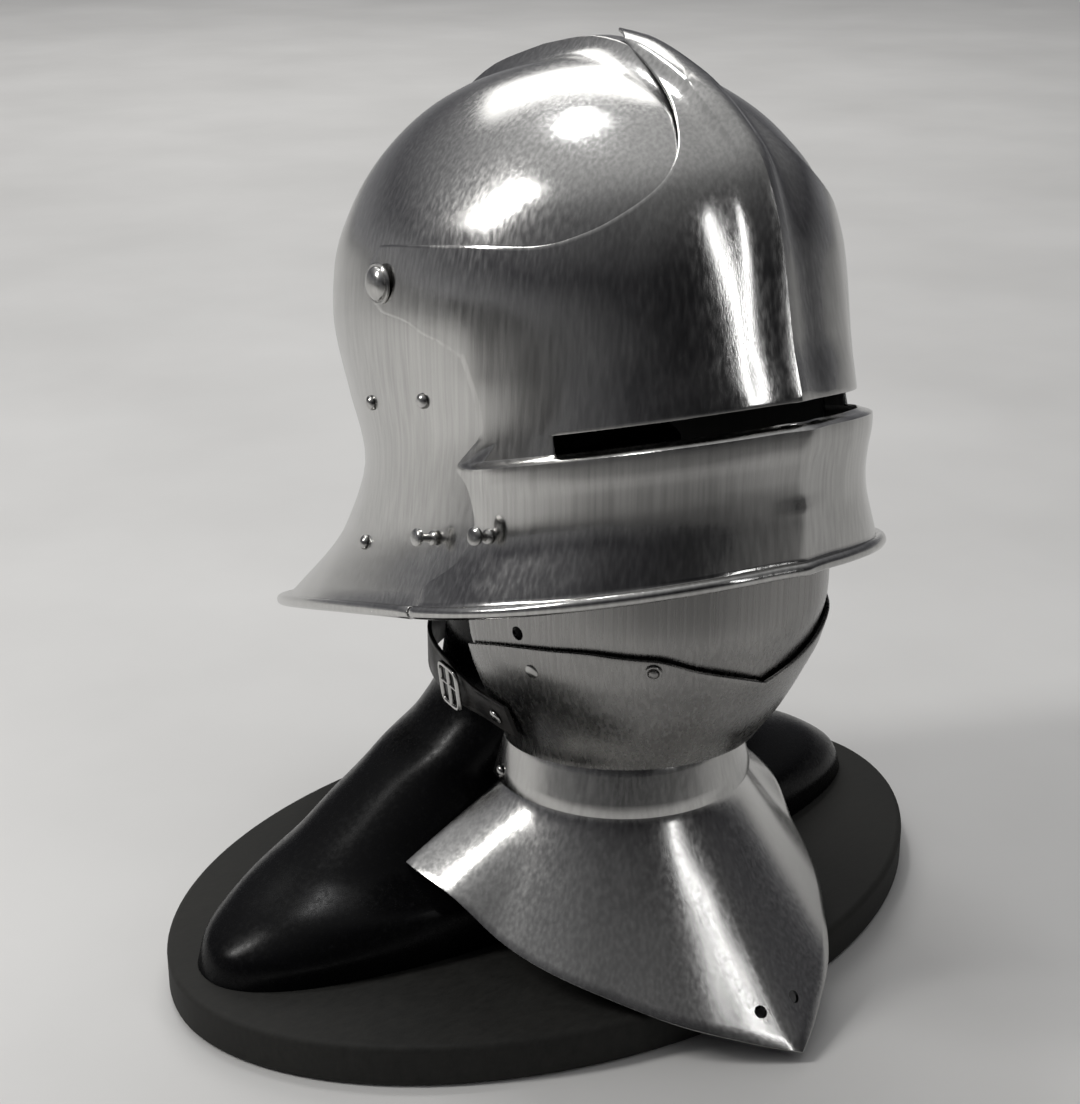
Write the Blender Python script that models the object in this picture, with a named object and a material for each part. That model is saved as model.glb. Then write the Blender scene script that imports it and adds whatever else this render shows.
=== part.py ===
"""Sallet with a bevor on a plain neck stand, in metres, front towards -Y, up +Z."""

import bpy
from math import asin, atan2, cos, pi, radians, sin
from mathutils import Matrix, Vector

# Driving sizes of the sallet bowl, measured from its centre.
HALF_WIDTH = 0.1038
FRONT_REACH = 0.1385
BACK_REACH = 0.1465
TAIL_REACH = 0.265
CROWN_RISE = 0.0935
RIM_DROP = 0.1520
BOWL_HEIGHT = 0.3517
BOWL_BACK = -0.017
PITCH = radians(-15.7)
LEAN = radians(2.7)

# Plates, laps and rolled rims.
PLATE = 0.0018
LAP = 0.0018
RUN_GAP = 0.0003
ROLL = 0.0030
COMB_RISE = 0.0088
COMB_FLAT = 0.0050
COMB_SPREAD = 0.017
LEDGE = 0.0060
SLOT_TOP = 0.795
SLOT_SHARE = 8 / 11
BROW = 0.70

# Visor hinge and its rivets, and the small rivets and pegs.
HINGE_BACK = 0.0005
HINGE_RISE = 0.0
PIVOT_RADIUS = 0.0092
SHANK_RADIUS = 0.0030
LINING_RADIUS = 0.0036
LINING_SHANK = 0.0012
PEG_RADIUS = 0.0034
PEG_LONG = 0.011
PIVOT_HEAD = 0.0048
PIVOT_SEAT = 0.0013
HINGE_PLACE = 0.55
LINING_HEAD = 0.0024
LINING_SEAT = 0.0006
HEM_SEAT = 0.0013
PEG_PLACE = 0.912
PEG_LIFT = 0.0008
PEG_COLLAR = 0.0018
PEG_HEAD = 0.0028
SKULL_PEG_TURN = 86.5
VISOR_PEG_TURN = 69.5
SEAT = 0.0004
BORE_GAP = 0.0005
BORE_REACH = 0.0122

# Bevor, collar and gorget, measured from the middle of the neck.
NECK_BACK = -0.054
BEVOR_BACK = -0.060
BEVOR_HALF = 0.0865
BEVOR_FRONT = 0.1085
COLLAR_HALF = 0.0658
COLLAR_TAPER = 0.0066
GORGET_REACH = 0.136
BEVOR_TOP = 0.250
BEVOR_LOW = 0.128
COLLAR_LOW = 0.104
GORGET_LOW = 0.006
PLATE_GAP = 0.0008
EASE = 0.0010
EASE_TOP = 0.222
EASE_DEEP = 0.024
FALL_TURN = 73
FALL_LEVEL = 0.186
CATCH_TURN = 38
CATCH_LEVEL = 0.1978
HOLE_TURN = 79
HOLE_LEVEL = 0.2020
HOLE_RADIUS = 0.0034
TAB_TURN = 97
TAB_LEVEL = 0.147
BEVOR_RIVET = 0.0036
BEVOR_RIVET_HEAD = 0.0009
SMALL_SHANK = 0.0015
CATCH_STEM = 0.0019
CATCH_RADIUS = 0.0038
CATCH_RIM = 0.0013
CATCH_HEAD = 0.0027
COLLAR_RIVET = 0.0034
COLLAR_RIVET_HEAD = 0.0018
COLLAR_RIVET_TURN = 104
COLLAR_RIVET_DOWN = 0.82
COLLAR_SPACE = 0.0034
COLLAR_SEAT = 0.0009
KEEL_HOLE_TURN = 5
KEEL_HOLE_DOWN = 0.88
KEEL_HOLE_RADIUS = 0.0030

# Neck strap and buckle.
STRAP_WIDE = 0.020
STRAP_THICK = 0.0022
STRAP_HALF = 0.0714
STRAP_FRONT = -0.062
STRAP_BACK = 0.124
STRAP_LEAN = 0.40
STRAP_STEPS = 24
STRAP_RIVET = 0.0040
STRAP_RIVET_HEAD = 0.0016
STRAP_RIVET_AT = -0.97
STRAP_SPACE = 0.0020
BUCKLE_TALL = 0.024
BUCKLE_LONG = 0.021
BUCKLE_BAR = 0.0028
BUCKLE_AT = -0.80
BUCKLE_LIFT = 0.0013

# Stand.
BASE_LONG = 0.221
BASE_DEEP = 0.152
BASE_THICK = 0.022
BASE_EASE = 0.0035
BASE_SIDES = 36
BASE_SQUARE = 1.9
BUST_SQUARE = 2.2
SHOULDER_HALF = 0.208
SHOULDER_DEEP = 0.066
POST_RADIUS = 0.020
POST_GAP = 0.0016

# Bowl form: place, side out and up, back out and up, front out and up, as shares of the sizes above.
BOWL = (
    (0.00, 0.000, 1.000, 0.000, 1.000, 0.000, 1.000),
    (0.08, 0.254, 0.975, 0.228, 0.986, 0.228, 0.984),
    (0.16, 0.472, 0.893, 0.428, 0.919, 0.416, 0.908),
    (0.26, 0.700, 0.720, 0.640, 0.745, 0.620, 0.745),
    (0.38, 0.892, 0.456, 0.838, 0.465, 0.805, 0.518),
    (0.50, 1.000, 0.150, 0.978, 0.125, 0.940, 0.228),
    (0.60, 1.028, -0.093, 1.020, -0.120, 0.980, -0.080),
    (0.70, 1.004, -0.300, 0.990, -0.333, 0.980, -0.300),
    (0.80, 0.974, -0.500, 0.958, -0.530, 0.998, -0.485),
    (0.90, 0.995, -0.735, 1.230, -0.800, 0.975, -0.710),
    (1.00, 1.100, -0.960, TAIL_REACH / BACK_REACH, -1.095, 0.940, -0.920),
)

# Comb form: place, rise and flat width to the front, rise and flat width to the back.
COMB = (
    (0.00, 1.00, 1.00, 1.00, 1.00),
    (0.10, 0.92, 1.00, 1.00, 1.00),
    (0.26, 0.74, 1.00, 0.80, 0.80),
    (0.38, 0.70, 0.75, 0.50, 0.60),
    (0.50, 0.58, 0.30, 0.20, 0.40),
    (0.60, 0.46, 0.08, 0.04, 0.30),
    (0.80, 0.34, 0.04, 0.00, 0.20),
    (1.00, 0.14, 0.04, 0.00, 0.20),
)

# Visor top edge: angle from the front in degrees, place on the bowl.
VISOR_TOP = (
    (0, 0.150), (5, 0.180), (7, 0.236), (10, 0.314), (14, 0.395), (18, 0.448), (24, 0.489),
    (32, 0.517), (40, 0.534), (48, 0.541), (69, 0.515), (93, 0.492), (110, 0.492),
)

# Visor rear edge below the arm: place on the bowl, angle from the front in degrees.
VISOR_REAR = (
    (0.66, 71.0), (0.73, 69.8), (0.785, 70.6), (0.805, 74.0), (0.827, 77.5), (0.851, 74.5),
    (0.890, 73.2), (0.930, 75.5), (0.955, 80.0), (0.975, 86.0), (1.00, 87.0),
)

# Lower edge of the visor arm: angle from the front in degrees, place on the bowl.
ARM_LOW = ((71, 0.668), (76, 0.646), (79, 0.636), (83, 0.616), (88, 0.603), (90.5, 0.598))

# Visor form: place on the bowl, outward step as a share of the ledge.
VISOR_STEP = (
    (0.00, 0.00), (0.819, 0.00), (0.828, 1.00), (0.846, 0.88),
    (0.870, 0.50), (0.905, 0.12), (0.94, 0.0), (1.00, 0.0),
)

# Lining rivets on each side of the skull: angle from the front in degrees, place on the bowl.
LINING_RIVETS = ((106.0, 0.725), (85.2, 0.728), (109.3, 0.921))

# Bevor plates: height, half width, front reach, as shares of the bevor sizes.
BEVOR = (
    (0.122, 0.730, 0.540),
    (0.139, 0.765, 0.660),
    (0.153, 0.840, 0.755),
    (0.176, 0.945, 0.870),
    (0.191, 0.985, 0.940),
    (0.215, 1.000, 1.000),
    (0.237, 0.994, 1.000),
    (0.262, 0.975, 0.985),
)

# Top edge of the lower bevor plate: angle from the front in degrees, height.
SEAM = (
    (0, 0.184), (12, 0.191), (25, 0.197), (39, 0.203), (53, 0.203), (70, 0.199), (85, 0.193), (102, 0.183),
)

# Gorget: angle from the front in degrees, reach of the lower edge and its height as a share of the drop.
GORGET = (
    (0, 1.000, 0.000), (20, 0.880, 0.135), (44, 0.770, 0.270), (73, 0.735, 0.420), (90, 0.775, 0.580),
    (112, 0.860, 0.640),
)

# Bust: height, half width and half depth as shares, back offset in shares of the half depth.
BUST = (
    (0.0000, 1.000, 0.960, 0.10),
    (0.0120, 0.975, 1.000, 0.11),
    (0.0250, 0.893, 1.000, 0.13),
    (0.0400, 0.725, 0.868, 0.24),
    (0.0560, 0.600, 0.795, 0.27),
    (0.0740, 0.475, 0.710, 0.27),
    (0.0920, 0.350, 0.740, 0.17),
    (0.1120, 0.285, 0.760, 0.08),
    (0.1360, 0.272, 0.800, 0.00),
    (0.1800, 0.270, 0.820, -0.08),
    (0.2400, 0.270, 0.820, -0.12),
)


def smooth(rows, place, column):
    """A table column at a place, smooth through the rows."""
    count = len(rows)
    place = min(max(place, rows[0][0]), rows[-1][0])
    slopes = [
        (rows[i + 1][column] - rows[i][column]) / (rows[i + 1][0] - rows[i][0]) for i in range(count - 1)
    ]
    bends = [slopes[0]]
    for before, after in zip(slopes, slopes[1:]):
        bends.append(0.0 if before * after <= 0 else 2 * before * after / (before + after))
    bends.append(slopes[-1])
    i = max(k for k in range(count - 1) if rows[k][0] <= place)
    span = rows[i + 1][0] - rows[i][0]
    t = (place - rows[i][0]) / span
    return (
        (2 * t**3 - 3 * t**2 + 1) * rows[i][column]
        + (t**3 - 2 * t**2 + t) * span * bends[i]
        + (3 * t**2 - 2 * t**3) * rows[i + 1][column]
        + (t**3 - t**2) * span * bends[i + 1]
    )


def height(share):
    return share * (CROWN_RISE if share > 0 else RIM_DROP)


BOWL_ROWS = [
    (
        row[0], row[1] * HALF_WIDTH, height(row[2]), row[3] * BACK_REACH, height(row[4]),
        row[5] * FRONT_REACH, height(row[6]),
    )
    for row in BOWL
]


def bowl_half(place):
    return smooth(BOWL_ROWS, place, 1)


def bowl_point(angle, place):
    """Plain outer form of the bowl; the angle is 0 at the front, pi at the back, right side negative x."""
    share = cos(angle)
    reach, end = (5, 6) if share > 0 else (3, 4)
    side_up = smooth(BOWL_ROWS, place, 2)
    end_up = smooth(BOWL_ROWS, place, end)
    return Vector((
        -bowl_half(place) * sin(angle),
        -smooth(BOWL_ROWS, place, reach) * share,
        side_up + (end_up - side_up) * share * share,
    ))


def bowl_normal(angle, place):
    """Outward direction of the bowl form."""
    along = bowl_point(angle + 0.01, place) - bowl_point(angle - 0.01, place)
    down = bowl_point(angle, min(place + 0.004, 1.0)) - bowl_point(angle, place - 0.004)
    return along.cross(down).normalized()


POLE = next(k / 2000 for k in range(2000) if bowl_half(k / 2000) >= COMB_SPREAD)


def strip_point(side, front, place):
    """A point of the comb strip at a signed share of its half width, on the front or the back."""
    near = place - POLE * max(0.0, 1 - (place - POLE) / 0.3) ** 2
    end = 0.0 if front else pi
    middle = bowl_point(end, near)
    step = bowl_point(end, near + 0.004) - bowl_point(end, max(near - 0.004, 0.0))
    lift = Vector((0.0, -step.z, step.y)) if front else Vector((0.0, step.z, -step.y))
    inwards = lift.y > 0 if front else lift.y < 0
    lift = -lift.normalized() if lift.z < -0.2 or inwards else lift.normalized()
    turn = asin(min(1.0, COMB_SPREAD / bowl_half(place)))
    edge = bowl_point(turn if front else pi - turn, place)
    share = abs(side)
    spread = share * share
    base = middle + (edge - middle) * spread
    base.x = side * COMB_SPREAD
    rise = COMB_RISE * smooth(COMB, near, 1 if front else 3)
    flat = COMB_FLAT / COMB_SPREAD * smooth(COMB, near, 2 if front else 4)
    fall = 1.0 if share <= flat else max(0.0, 1 - (share - flat) / (1 - flat)) ** 2.3
    return base + lift * rise * fall


def side_angle(share, place):
    """Angle of a skull column; share 0 is the comb strip's edge at the front and 1 its edge at the back."""
    turn = asin(min(1.0, COMB_SPREAD / bowl_half(place)))
    return turn + share * (pi - 2 * turn)


class Sheet:
    """An open sheet of faces that share points by key."""

    def __init__(self):
        self.points = []
        self.index = {}
        self.faces = []
        self.rolled = set()

    def add(self, key, point):
        if key not in self.index:
            self.index[key] = len(self.points)
            self.points.append(Vector(point))
        return self.index[key]

    def face(self, *keys):
        corners = []
        for key in keys:
            if self.index[key] not in corners:
                corners.append(self.index[key])
        if len(corners) > 2:
            self.faces.append(corners)

    def normals(self):
        sums = [Vector() for _ in self.points]
        for corners in self.faces:
            for i, corner in enumerate(corners):
                before = self.points[corners[i - 1]] - self.points[corner]
                after = self.points[corners[(i + 1) % len(corners)]] - self.points[corner]
                weight = after.cross(before)
                if weight.length > 0:
                    sums[corner] += weight.normalized() * after.angle(before)
        return [total.normalized() for total in sums]

    def solid(self, thick, steps=5, roll=ROLL):
        """Vertices and faces of the closed plate, its wall inwards, with a roll along the rolled edge."""
        normals = self.normals()
        outer = self.points
        inner = [p - n * thick for p, n in zip(outer, normals)]
        count = len(outer)
        verts = list(outer) + inner
        faces = [tuple(f) for f in self.faces] + [tuple(i + count for i in reversed(f)) for f in self.faces]
        seen = {}
        for corners in self.faces:
            for i, a in enumerate(corners):
                seen[(a, corners[(i + 1) % len(corners)])] = True
        open_edges = [edge for edge in seen if (edge[1], edge[0]) not in seen]
        following = dict(open_edges)
        leading = {b: a for a, b in open_edges}
        chains = {}
        for vertex in self.rolled:
            beside = (leading.get(vertex), vertex, following.get(vertex))
            ends = [v for v in beside if v is not None and v in self.rolled]
            along = (outer[ends[-1]] - outer[ends[0]]).normalized()
            out = normals[vertex]
            down = along.cross(out).normalized()
            drop = (roll**2 - (roll - thick) ** 2) ** 0.5
            centre = inner[vertex] + out * roll + down * drop
            first = -asin((roll - thick) / roll)
            chain = []
            for step in range(1, steps + 1):
                turn = first + (1.5 * pi - first) * step / steps
                chain.append(len(verts))
                verts.append(centre + out * roll * sin(turn) - down * roll * cos(turn))
            chains[vertex] = [vertex] + chain + [vertex + count]
        for a, b in open_edges:
            if a in chains and b in chains:
                for j in range(steps + 1):
                    faces.append((chains[b][j], chains[a][j], chains[a][j + 1], chains[b][j + 1]))
                if leading.get(a) not in chains:
                    faces.append(tuple(reversed(chains[a])))
                if following.get(b) not in chains:
                    faces.append(tuple(chains[b]))
            else:
                faces.append((b, a, a + count, b + count))
        return verts, faces


def material(name, colour, roughness, metallic):
    made = bpy.data.materials.new(name)
    made.use_nodes = True
    shader = made.node_tree.nodes["Principled BSDF"]
    shader.inputs["Base Color"].default_value = (*colour, 1.0)
    shader.inputs["Roughness"].default_value = roughness
    shader.inputs["Metallic"].default_value = metallic
    return made


def node(name, verts, faces, look):
    """A named object; faces with four corners are halved, so that every one of them is flat."""
    flat = []
    for face in faces:
        flat += [(face[0], face[1], face[2]), (face[0], face[2], face[3])] if len(face) == 4 else [face]
    mesh = bpy.data.meshes.new(name)
    mesh.from_pydata([tuple(v) for v in verts], [], flat)
    mesh.update()
    made = bpy.data.objects.new(name, mesh)
    bpy.context.collection.objects.link(made)
    made.data.materials.append(material(name + "_finish", *look))
    return made


def turned(profile, sides, place, direction):
    """Vertices and faces of a turned solid; the profile gives distance along the axis and radius."""
    turn = Vector((0, 0, 1)).rotation_difference(Vector(direction)).to_matrix()
    verts, faces, rings = [], [], []
    for along, radius in profile:
        if radius == 0:
            rings.append([len(verts)])
            verts.append(Vector(place) + turn @ Vector((0, 0, along)))
            continue
        rings.append([len(verts) + k for k in range(sides)])
        for k in range(sides):
            angle = 2 * pi * k / sides
            verts.append(Vector(place) + turn @ Vector((radius * cos(angle), radius * sin(angle), along)))
    for low, high in zip(rings, rings[1:]):
        for k in range(sides):
            m = (k + 1) % sides
            if len(low) == 1:
                faces.append((low[0], high[m], high[k]))
            elif len(high) == 1:
                faces.append((low[k], low[m], high[0]))
            else:
                faces.append((low[k], low[m], high[m], high[k]))
    return verts, faces


def lofted(rings):
    """Vertices and faces of a solid through rings of points, closed flat at both ends."""
    sides = len(rings[0])
    verts = [v for ring in rings for v in ring]
    faces = [tuple(reversed(range(sides)))]
    for j in range(len(rings) - 1):
        for k in range(sides):
            m = (k + 1) % sides
            faces.append((j * sides + k, j * sides + m, (j + 1) * sides + m, (j + 1) * sides + k))
    last = (len(rings) - 1) * sides
    faces.append(tuple(last + k for k in range(sides)))
    return verts, faces


def oval(half, deep, centre, level, sides, power=2.0):
    ring = []
    for k in range(sides):
        angle = 2 * pi * k / sides
        c, s = cos(angle), sin(angle)
        ring.append(Vector((
            half * (abs(c) ** (2 / power)) * (1 if c > 0 else -1),
            centre + deep * (abs(s) ** (2 / power)) * (1 if s > 0 else -1),
            level,
        )))
    return ring


STEEL = ((0.56, 0.55, 0.53), 0.22, 1.0)
LEATHER = ((0.02, 0.02, 0.02), 0.55, 0.0)
GLOSS_BLACK = ((0.012, 0.012, 0.012), 0.25, 0.0)
MATT_BLACK = ((0.03, 0.03, 0.03), 0.7, 0.0)

COMB_LINES = (-1.0, -0.54, -0.28, 0.28, 0.54, 1.0)


def bowl_rings(count):
    return [POLE + (1 - POLE) * (k / count) for k in range(count + 1)]


def skull_sheet(rings, columns, comb_lines, brow, face):
    """The bowl without its face opening; brow is the ring and face the column where the opening ends."""
    sheet = Sheet()
    count = len(rings) - 1
    last = len(comb_lines) - 1

    def side_key(side, ring, column):
        if ring == 0:
            return ("comb", "top", 0, 0 if side < 0 else last)
        if column == 0:
            return ("comb", "front", ring, 0 if side < 0 else last)
        if column == columns:
            return ("comb", "back", ring, 0 if side < 0 else last)
        return ("side", side, ring, column)

    for ring, place in enumerate(rings):
        for k, line in enumerate(comb_lines):
            for way in ("front", "back"):
                key = ("comb", way if ring else "top", ring, k)
                sheet.add(key, strip_point(line, way == "front", place))
        for side in (-1, 1):
            for column in range(1, columns):
                point = bowl_point(side_angle(column / columns, place), place)
                sheet.add(side_key(side, ring, column), (point.x * -side, point.y, point.z))
    for ring in range(count):
        for k in range(last):
            for way in ("front", "back"):
                if way == "front" and ring >= brow:
                    continue
                upper = way if ring else "top"
                a, b = ("comb", upper, ring, k), ("comb", upper, ring, k + 1)
                c, d = ("comb", way, ring + 1, k + 1), ("comb", way, ring + 1, k)
                sheet.face(*((d, c, b, a) if way == "front" else (a, b, c, d)))
        for side in (-1, 1):
            for column in range(columns):
                if ring >= brow and column < face:
                    continue
                a, b = side_key(side, ring, column), side_key(side, ring, column + 1)
                c, d = side_key(side, ring + 1, column + 1), side_key(side, ring + 1, column)
                sheet.face(*((d, c, b, a) if side > 0 else (a, b, c, d)))
    return sheet, side_key


def top_place(angle):
    return smooth(VISOR_TOP, angle * 180 / pi, 1)


def visor_angle(share, place):
    """Angle of a visor column; share 1 is the rear edge, which only the rearmost columns follow."""
    turn = asin(min(1.0, COMB_SPREAD / bowl_half(place)))
    root = radians(VISOR_REAR[0][1])
    late = max(0.0, (share - SLOT_SHARE) / (1 - SLOT_SHARE))
    bend = late * late * (3 - 2 * late)
    return turn + share * (root - turn) + bend * (radians(smooth(VISOR_REAR, place, 1)) - root)


def visor_step(angle, place):
    fade = min(1.0, max(0.0, (radians(77) - angle) / radians(9)))
    return LAP + PLATE + LEDGE * smooth(VISOR_STEP, place, 1) * fade * fade * (3 - 2 * fade)


def visor_point(angle, place):
    return bowl_point(angle, place) + bowl_normal(angle, place) * visor_step(angle, place)


def visor_strip(side, place):
    """The comb strip carried outwards by the lap and the ledge."""
    if abs(side) >= 1:
        turn = visor_angle(0.0, place)
        point = visor_point(turn, place)
        return Vector((point.x if side < 0 else -point.x, point.y, point.z))
    gap = 0.0015
    here = strip_point(side, True, place)
    across = strip_point(min(1.0, side + 0.03), True, place)
    across -= strip_point(max(-1.0, side - 0.03), True, place)
    down = strip_point(side, True, min(place + gap, 1.0)) - strip_point(side, True, place - gap)
    out = down.cross(across).normalized()
    out = -out if out.y > 0 and out.z < 0.5 else out
    turn = visor_angle(0.0, place)
    share = abs(side)
    reach = (visor_point(turn, place) - bowl_point(turn, place)).length
    grow = 1.0 + 0.25 * (1 - share)
    return here + out * (LAP + PLATE + (reach - LAP - PLATE)) * (grow if reach < 0.004 else 1.0)


def visor_top_strip(side):
    """Place where the visor's top edge crosses a line of the comb strip."""
    share = abs(side) * COMB_SPREAD
    low, high = 0.1, 0.6
    for _ in range(30):
        middle = (low + high) / 2
        turn = asin(min(1.0, share / bowl_half(middle)))
        if top_place(turn) > middle:
            low = middle
        else:
            high = middle
    return (low + high) / 2


def visor_top_column(share):
    """Place where the visor's top edge crosses a side column."""
    low, high = 0.15, 0.60
    for _ in range(30):
        middle = (low + high) / 2
        if top_place(visor_angle(share, middle)) > middle:
            low = middle
        else:
            high = middle
    return (low + high) / 2


VISOR_LOWER = (0.819, 0.828, 0.846, 0.870, 0.905, 0.945, 0.975, 1.0)
ARM_ROWS_SHARE = (0.668 - 0.506) / (SLOT_TOP - 0.506)


def visor_sheet(upper, arm_rows, columns, slot_columns, arm_columns, comb_lines, lower):
    """The visor: comb strip, side and arm blocks on both sides, with the sight slot left open."""
    sheet = Sheet()
    last = len(comb_lines) - 1
    rows = upper + 1 + len(lower)

    def share_of(row):
        if row <= arm_rows:
            return ARM_ROWS_SHARE * row / arm_rows
        return ARM_ROWS_SHARE + (1 - ARM_ROWS_SHARE) * (row - arm_rows) / (upper - arm_rows)

    def place_of(row, top):
        return top + (SLOT_TOP - top) * share_of(row) if row <= upper else lower[row - upper - 1]

    def key(side, row, column):
        if column == 0:
            return ("comb", row, 0 if side < 0 else last)
        return ("side", side, row, column)

    for row in range(rows):
        for k, line in enumerate(comb_lines):
            place = place_of(row, visor_top_strip(line))
            if k in (0, last):
                place = place_of(row, visor_top_column(0.0))
            sheet.add(("comb", row, k), visor_strip(line, place))
        for side in (-1, 1):
            for column in range(1, columns + 1):
                share = column / columns
                place = place_of(row, visor_top_column(share))
                point = visor_point(visor_angle(share, place), place)
                sheet.add(key(side, row, column), (point.x * -side, point.y, point.z))
    root = radians(VISOR_REAR[0][1])
    end = radians(90.5)
    for row in range(arm_rows + 1):
        across = row / arm_rows
        for column in range(1, arm_columns + 1):
            share = column / arm_columns
            angle = root + (end - root) * share
            top = top_place(angle)
            low = smooth(ARM_LOW, angle * 180 / pi, 1)
            place = top + (low - top) * across
            angle += radians(5.4) * sin(pi * across) * share**2
            point = visor_point(angle, place)
            for side in (-1, 1):
                sheet.add(key(side, row, columns + column), (point.x * -side, point.y, point.z))
    for row in range(rows - 1):
        for k in range(last):
            if row == upper:
                continue
            a, b = ("comb", row, k), ("comb", row, k + 1)
            c, d = ("comb", row + 1, k + 1), ("comb", row + 1, k)
            sheet.face(d, c, b, a)
        for side in (-1, 1):
            for column in range(columns + (arm_columns if row < arm_rows else 0)):
                if row == upper and column < slot_columns:
                    continue
                a, b = key(side, row, column), key(side, row, column + 1)
                c, d = key(side, row + 1, column + 1), key(side, row + 1, column)
                sheet.face(*((d, c, b, a) if side > 0 else (a, b, c, d)))
    for k in range(last + 1):
        sheet.rolled.add(sheet.index[("comb", rows - 1, k)])
    for side in (-1, 1):
        for column in range(1, columns + 1):
            sheet.rolled.add(sheet.index[key(side, rows - 1, column)])
    return sheet


def bevor_point(angle, level, inset=0.0):
    """Point of the bevor's form; the angle is 0 at the front and grows to the wearer's right."""
    half = BEVOR_HALF * smooth(BEVOR, level, 1) - inset
    reach = BEVOR_FRONT * smooth(BEVOR, level, 2) - inset
    return Vector((-half * sin(angle), BEVOR_BACK - reach * cos(angle), level))


def fan_sheet(columns, rows, point_of, angle_of, turn_limit):
    """A sheet from the right over the front to the left; point_of takes an angle and a share down."""
    sheet = Sheet()
    for row in range(rows + 1):
        for column in range(columns + 1):
            share = 2 * column / columns - 1
            angle = angle_of(share, row / rows) * turn_limit
            sheet.add((row, column), point_of(angle, row / rows))
    for row in range(rows):
        for column in range(columns):
            sheet.face((row, column), (row, column + 1), (row + 1, column + 1), (row + 1, column))
    return sheet


def even(share, down):
    return share


def widened(share, down):
    return share * (1 + 0.06 * down)


def narrowed(share, down):
    return share * (1 - 0.06 * down)


BEVOR_TURN = radians(102)
COLLAR_TURN = radians(112)


def lower_level(angle, down):
    top = smooth(SEAM, abs(angle) * 180 / pi, 1)
    low = BEVOR_LOW + 0.006 * cos(angle)
    return top + (low - top) * down


def lower_plate(angle, down):
    return bevor_point(angle, lower_level(angle, down))


def upper_inset(angle, level):
    """How far the upper plate stands inside the form; more in front, where it runs behind the lower one."""
    ahead = max(0.0, (cos(angle) - cos(radians(FALL_TURN))) / (1 - cos(radians(FALL_TURN))))
    share = min(1.0, max(0.0, (EASE_TOP - level) / EASE_DEEP))
    return PLATE + PLATE_GAP + EASE * ahead * share * share * (3 - 2 * share)


def upper_plate(angle, down):
    top = BEVOR_TOP - 0.018 * (1 - cos(angle))
    low = smooth(SEAM, abs(angle) * 180 / pi, 1) - 0.012
    level = top + (low - top) * down
    return bevor_point(angle, level, upper_inset(angle, level))


def collar_plate(angle, down):
    level = COLLAR_LOW + 0.026 * (1 - down)
    radius = COLLAR_HALF - COLLAR_TAPER * (1 - down)
    return Vector((-radius * sin(angle), NECK_BACK - radius * cos(angle), level))


def gorget_plate(angle, down):
    turn = abs(angle) * 180 / pi
    top = Vector((0, 0, COLLAR_LOW + 0.010))
    inner = COLLAR_HALF - PLATE - PLATE_GAP - 0.0030
    reach = GORGET_REACH * smooth(GORGET, turn, 1)
    low = GORGET_LOW + (COLLAR_LOW - GORGET_LOW) * smooth(GORGET, turn, 2)
    bend = 0.16
    share = 0.0 if down <= bend else (down - bend) / (1 - bend)
    fall = share**1.18
    radius = inner + 0.0012 * min(1.0, down / bend) + (reach - inner) * fall
    level = top.z - 0.012 * min(1.0, down / bend) + (low - COLLAR_LOW + 0.002) * share
    ridge = 0.004 * share * max(0.0, 1 - turn / 14) ** 1.6
    return Vector((-(radius + ridge) * sin(angle), NECK_BACK - (radius + ridge) * cos(angle), level))


def bust_rings(sides):
    rings = []
    for level, half, deep, back in BUST:
        height_up = BASE_THICK + RUN_GAP + level
        rings.append(oval(
            SHOULDER_HALF * half, SHOULDER_DEEP * deep, SHOULDER_DEEP * back, height_up, sides, BUST_SQUARE
        ))
    return rings


def placed(made, origin, turn=0.0):
    """Moves a node's vertices so that its own origin is at a point, and puts the node there."""
    made.data.transform(Matrix.Translation(-Vector(origin)))
    made.location = origin
    return made


def bore(target, place, direction, radius, length, sides=10):
    """Bores a round hole through a node."""
    half = length / 2
    profile = ((-half, 0), (-half, radius), (half, radius), (half, 0))
    name = target.name + "_bore_" + str(len(target.modifiers))
    cut_with(target, node(name, *turned(profile, sides, place, direction), STEEL))


def cut_with(target, cutter):
    cutter.hide_render = True
    cutter.display_type = "WIRE"
    cutter.parent = target.parent
    cut = target.modifiers.new("cut", "BOOLEAN")
    cut.operation = "DIFFERENCE"
    cut.solver = "EXACT"
    cut.object = cutter


def rivet(name, targets, place, direction, radius, rise, grip, shank, look, seat=SEAT, sides=8):
    """A domed rivet through the targets; grip is the thickness it holds, seat the gap under its heads."""
    back = -grip - seat
    made = node(name, *turned((
        (back - 0.0010, 0), (back - 0.0010, radius * 0.7), (back, radius * 0.8),
        (back, shank), (seat, shank), (seat, radius), (seat + rise * 0.35, radius * 0.95),
        (seat + rise * 0.8, radius * 0.58), (seat + rise, 0),
    ), sides, place, direction), look)
    middle = Vector(place) - Vector(direction) * grip / 2
    for target in targets:
        bore(target, middle, direction, shank + BORE_GAP, grip + BORE_REACH)
    made.parent = targets[0].parent
    return made


def mirrored(point, side):
    return Vector((point.x * (1 if side == "right" else -1), point.y, point.z))


def bevor_out(angle, level):
    """Outward direction of the bevor's form."""
    along = bevor_point(angle + 0.01, level) - bevor_point(angle - 0.01, level)
    rise = bevor_point(angle, level + 0.002) - bevor_point(angle, level - 0.002)
    return rise.cross(along).normalized()


def strap_lean(share):
    """Outward lean of the strap per unit of height, as it lies on the sloping plate."""
    return STRAP_LEAN * min(1.0, max(0.0, (abs(share) - 0.75) * 6))


def strap_out(share):
    """Level outward direction of the strap."""
    ahead = strap_path(min(1.0, share + 0.01)) - strap_path(max(-1.0, share - 0.01))
    return Vector((-ahead.y, ahead.x, 0)).normalized()


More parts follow.
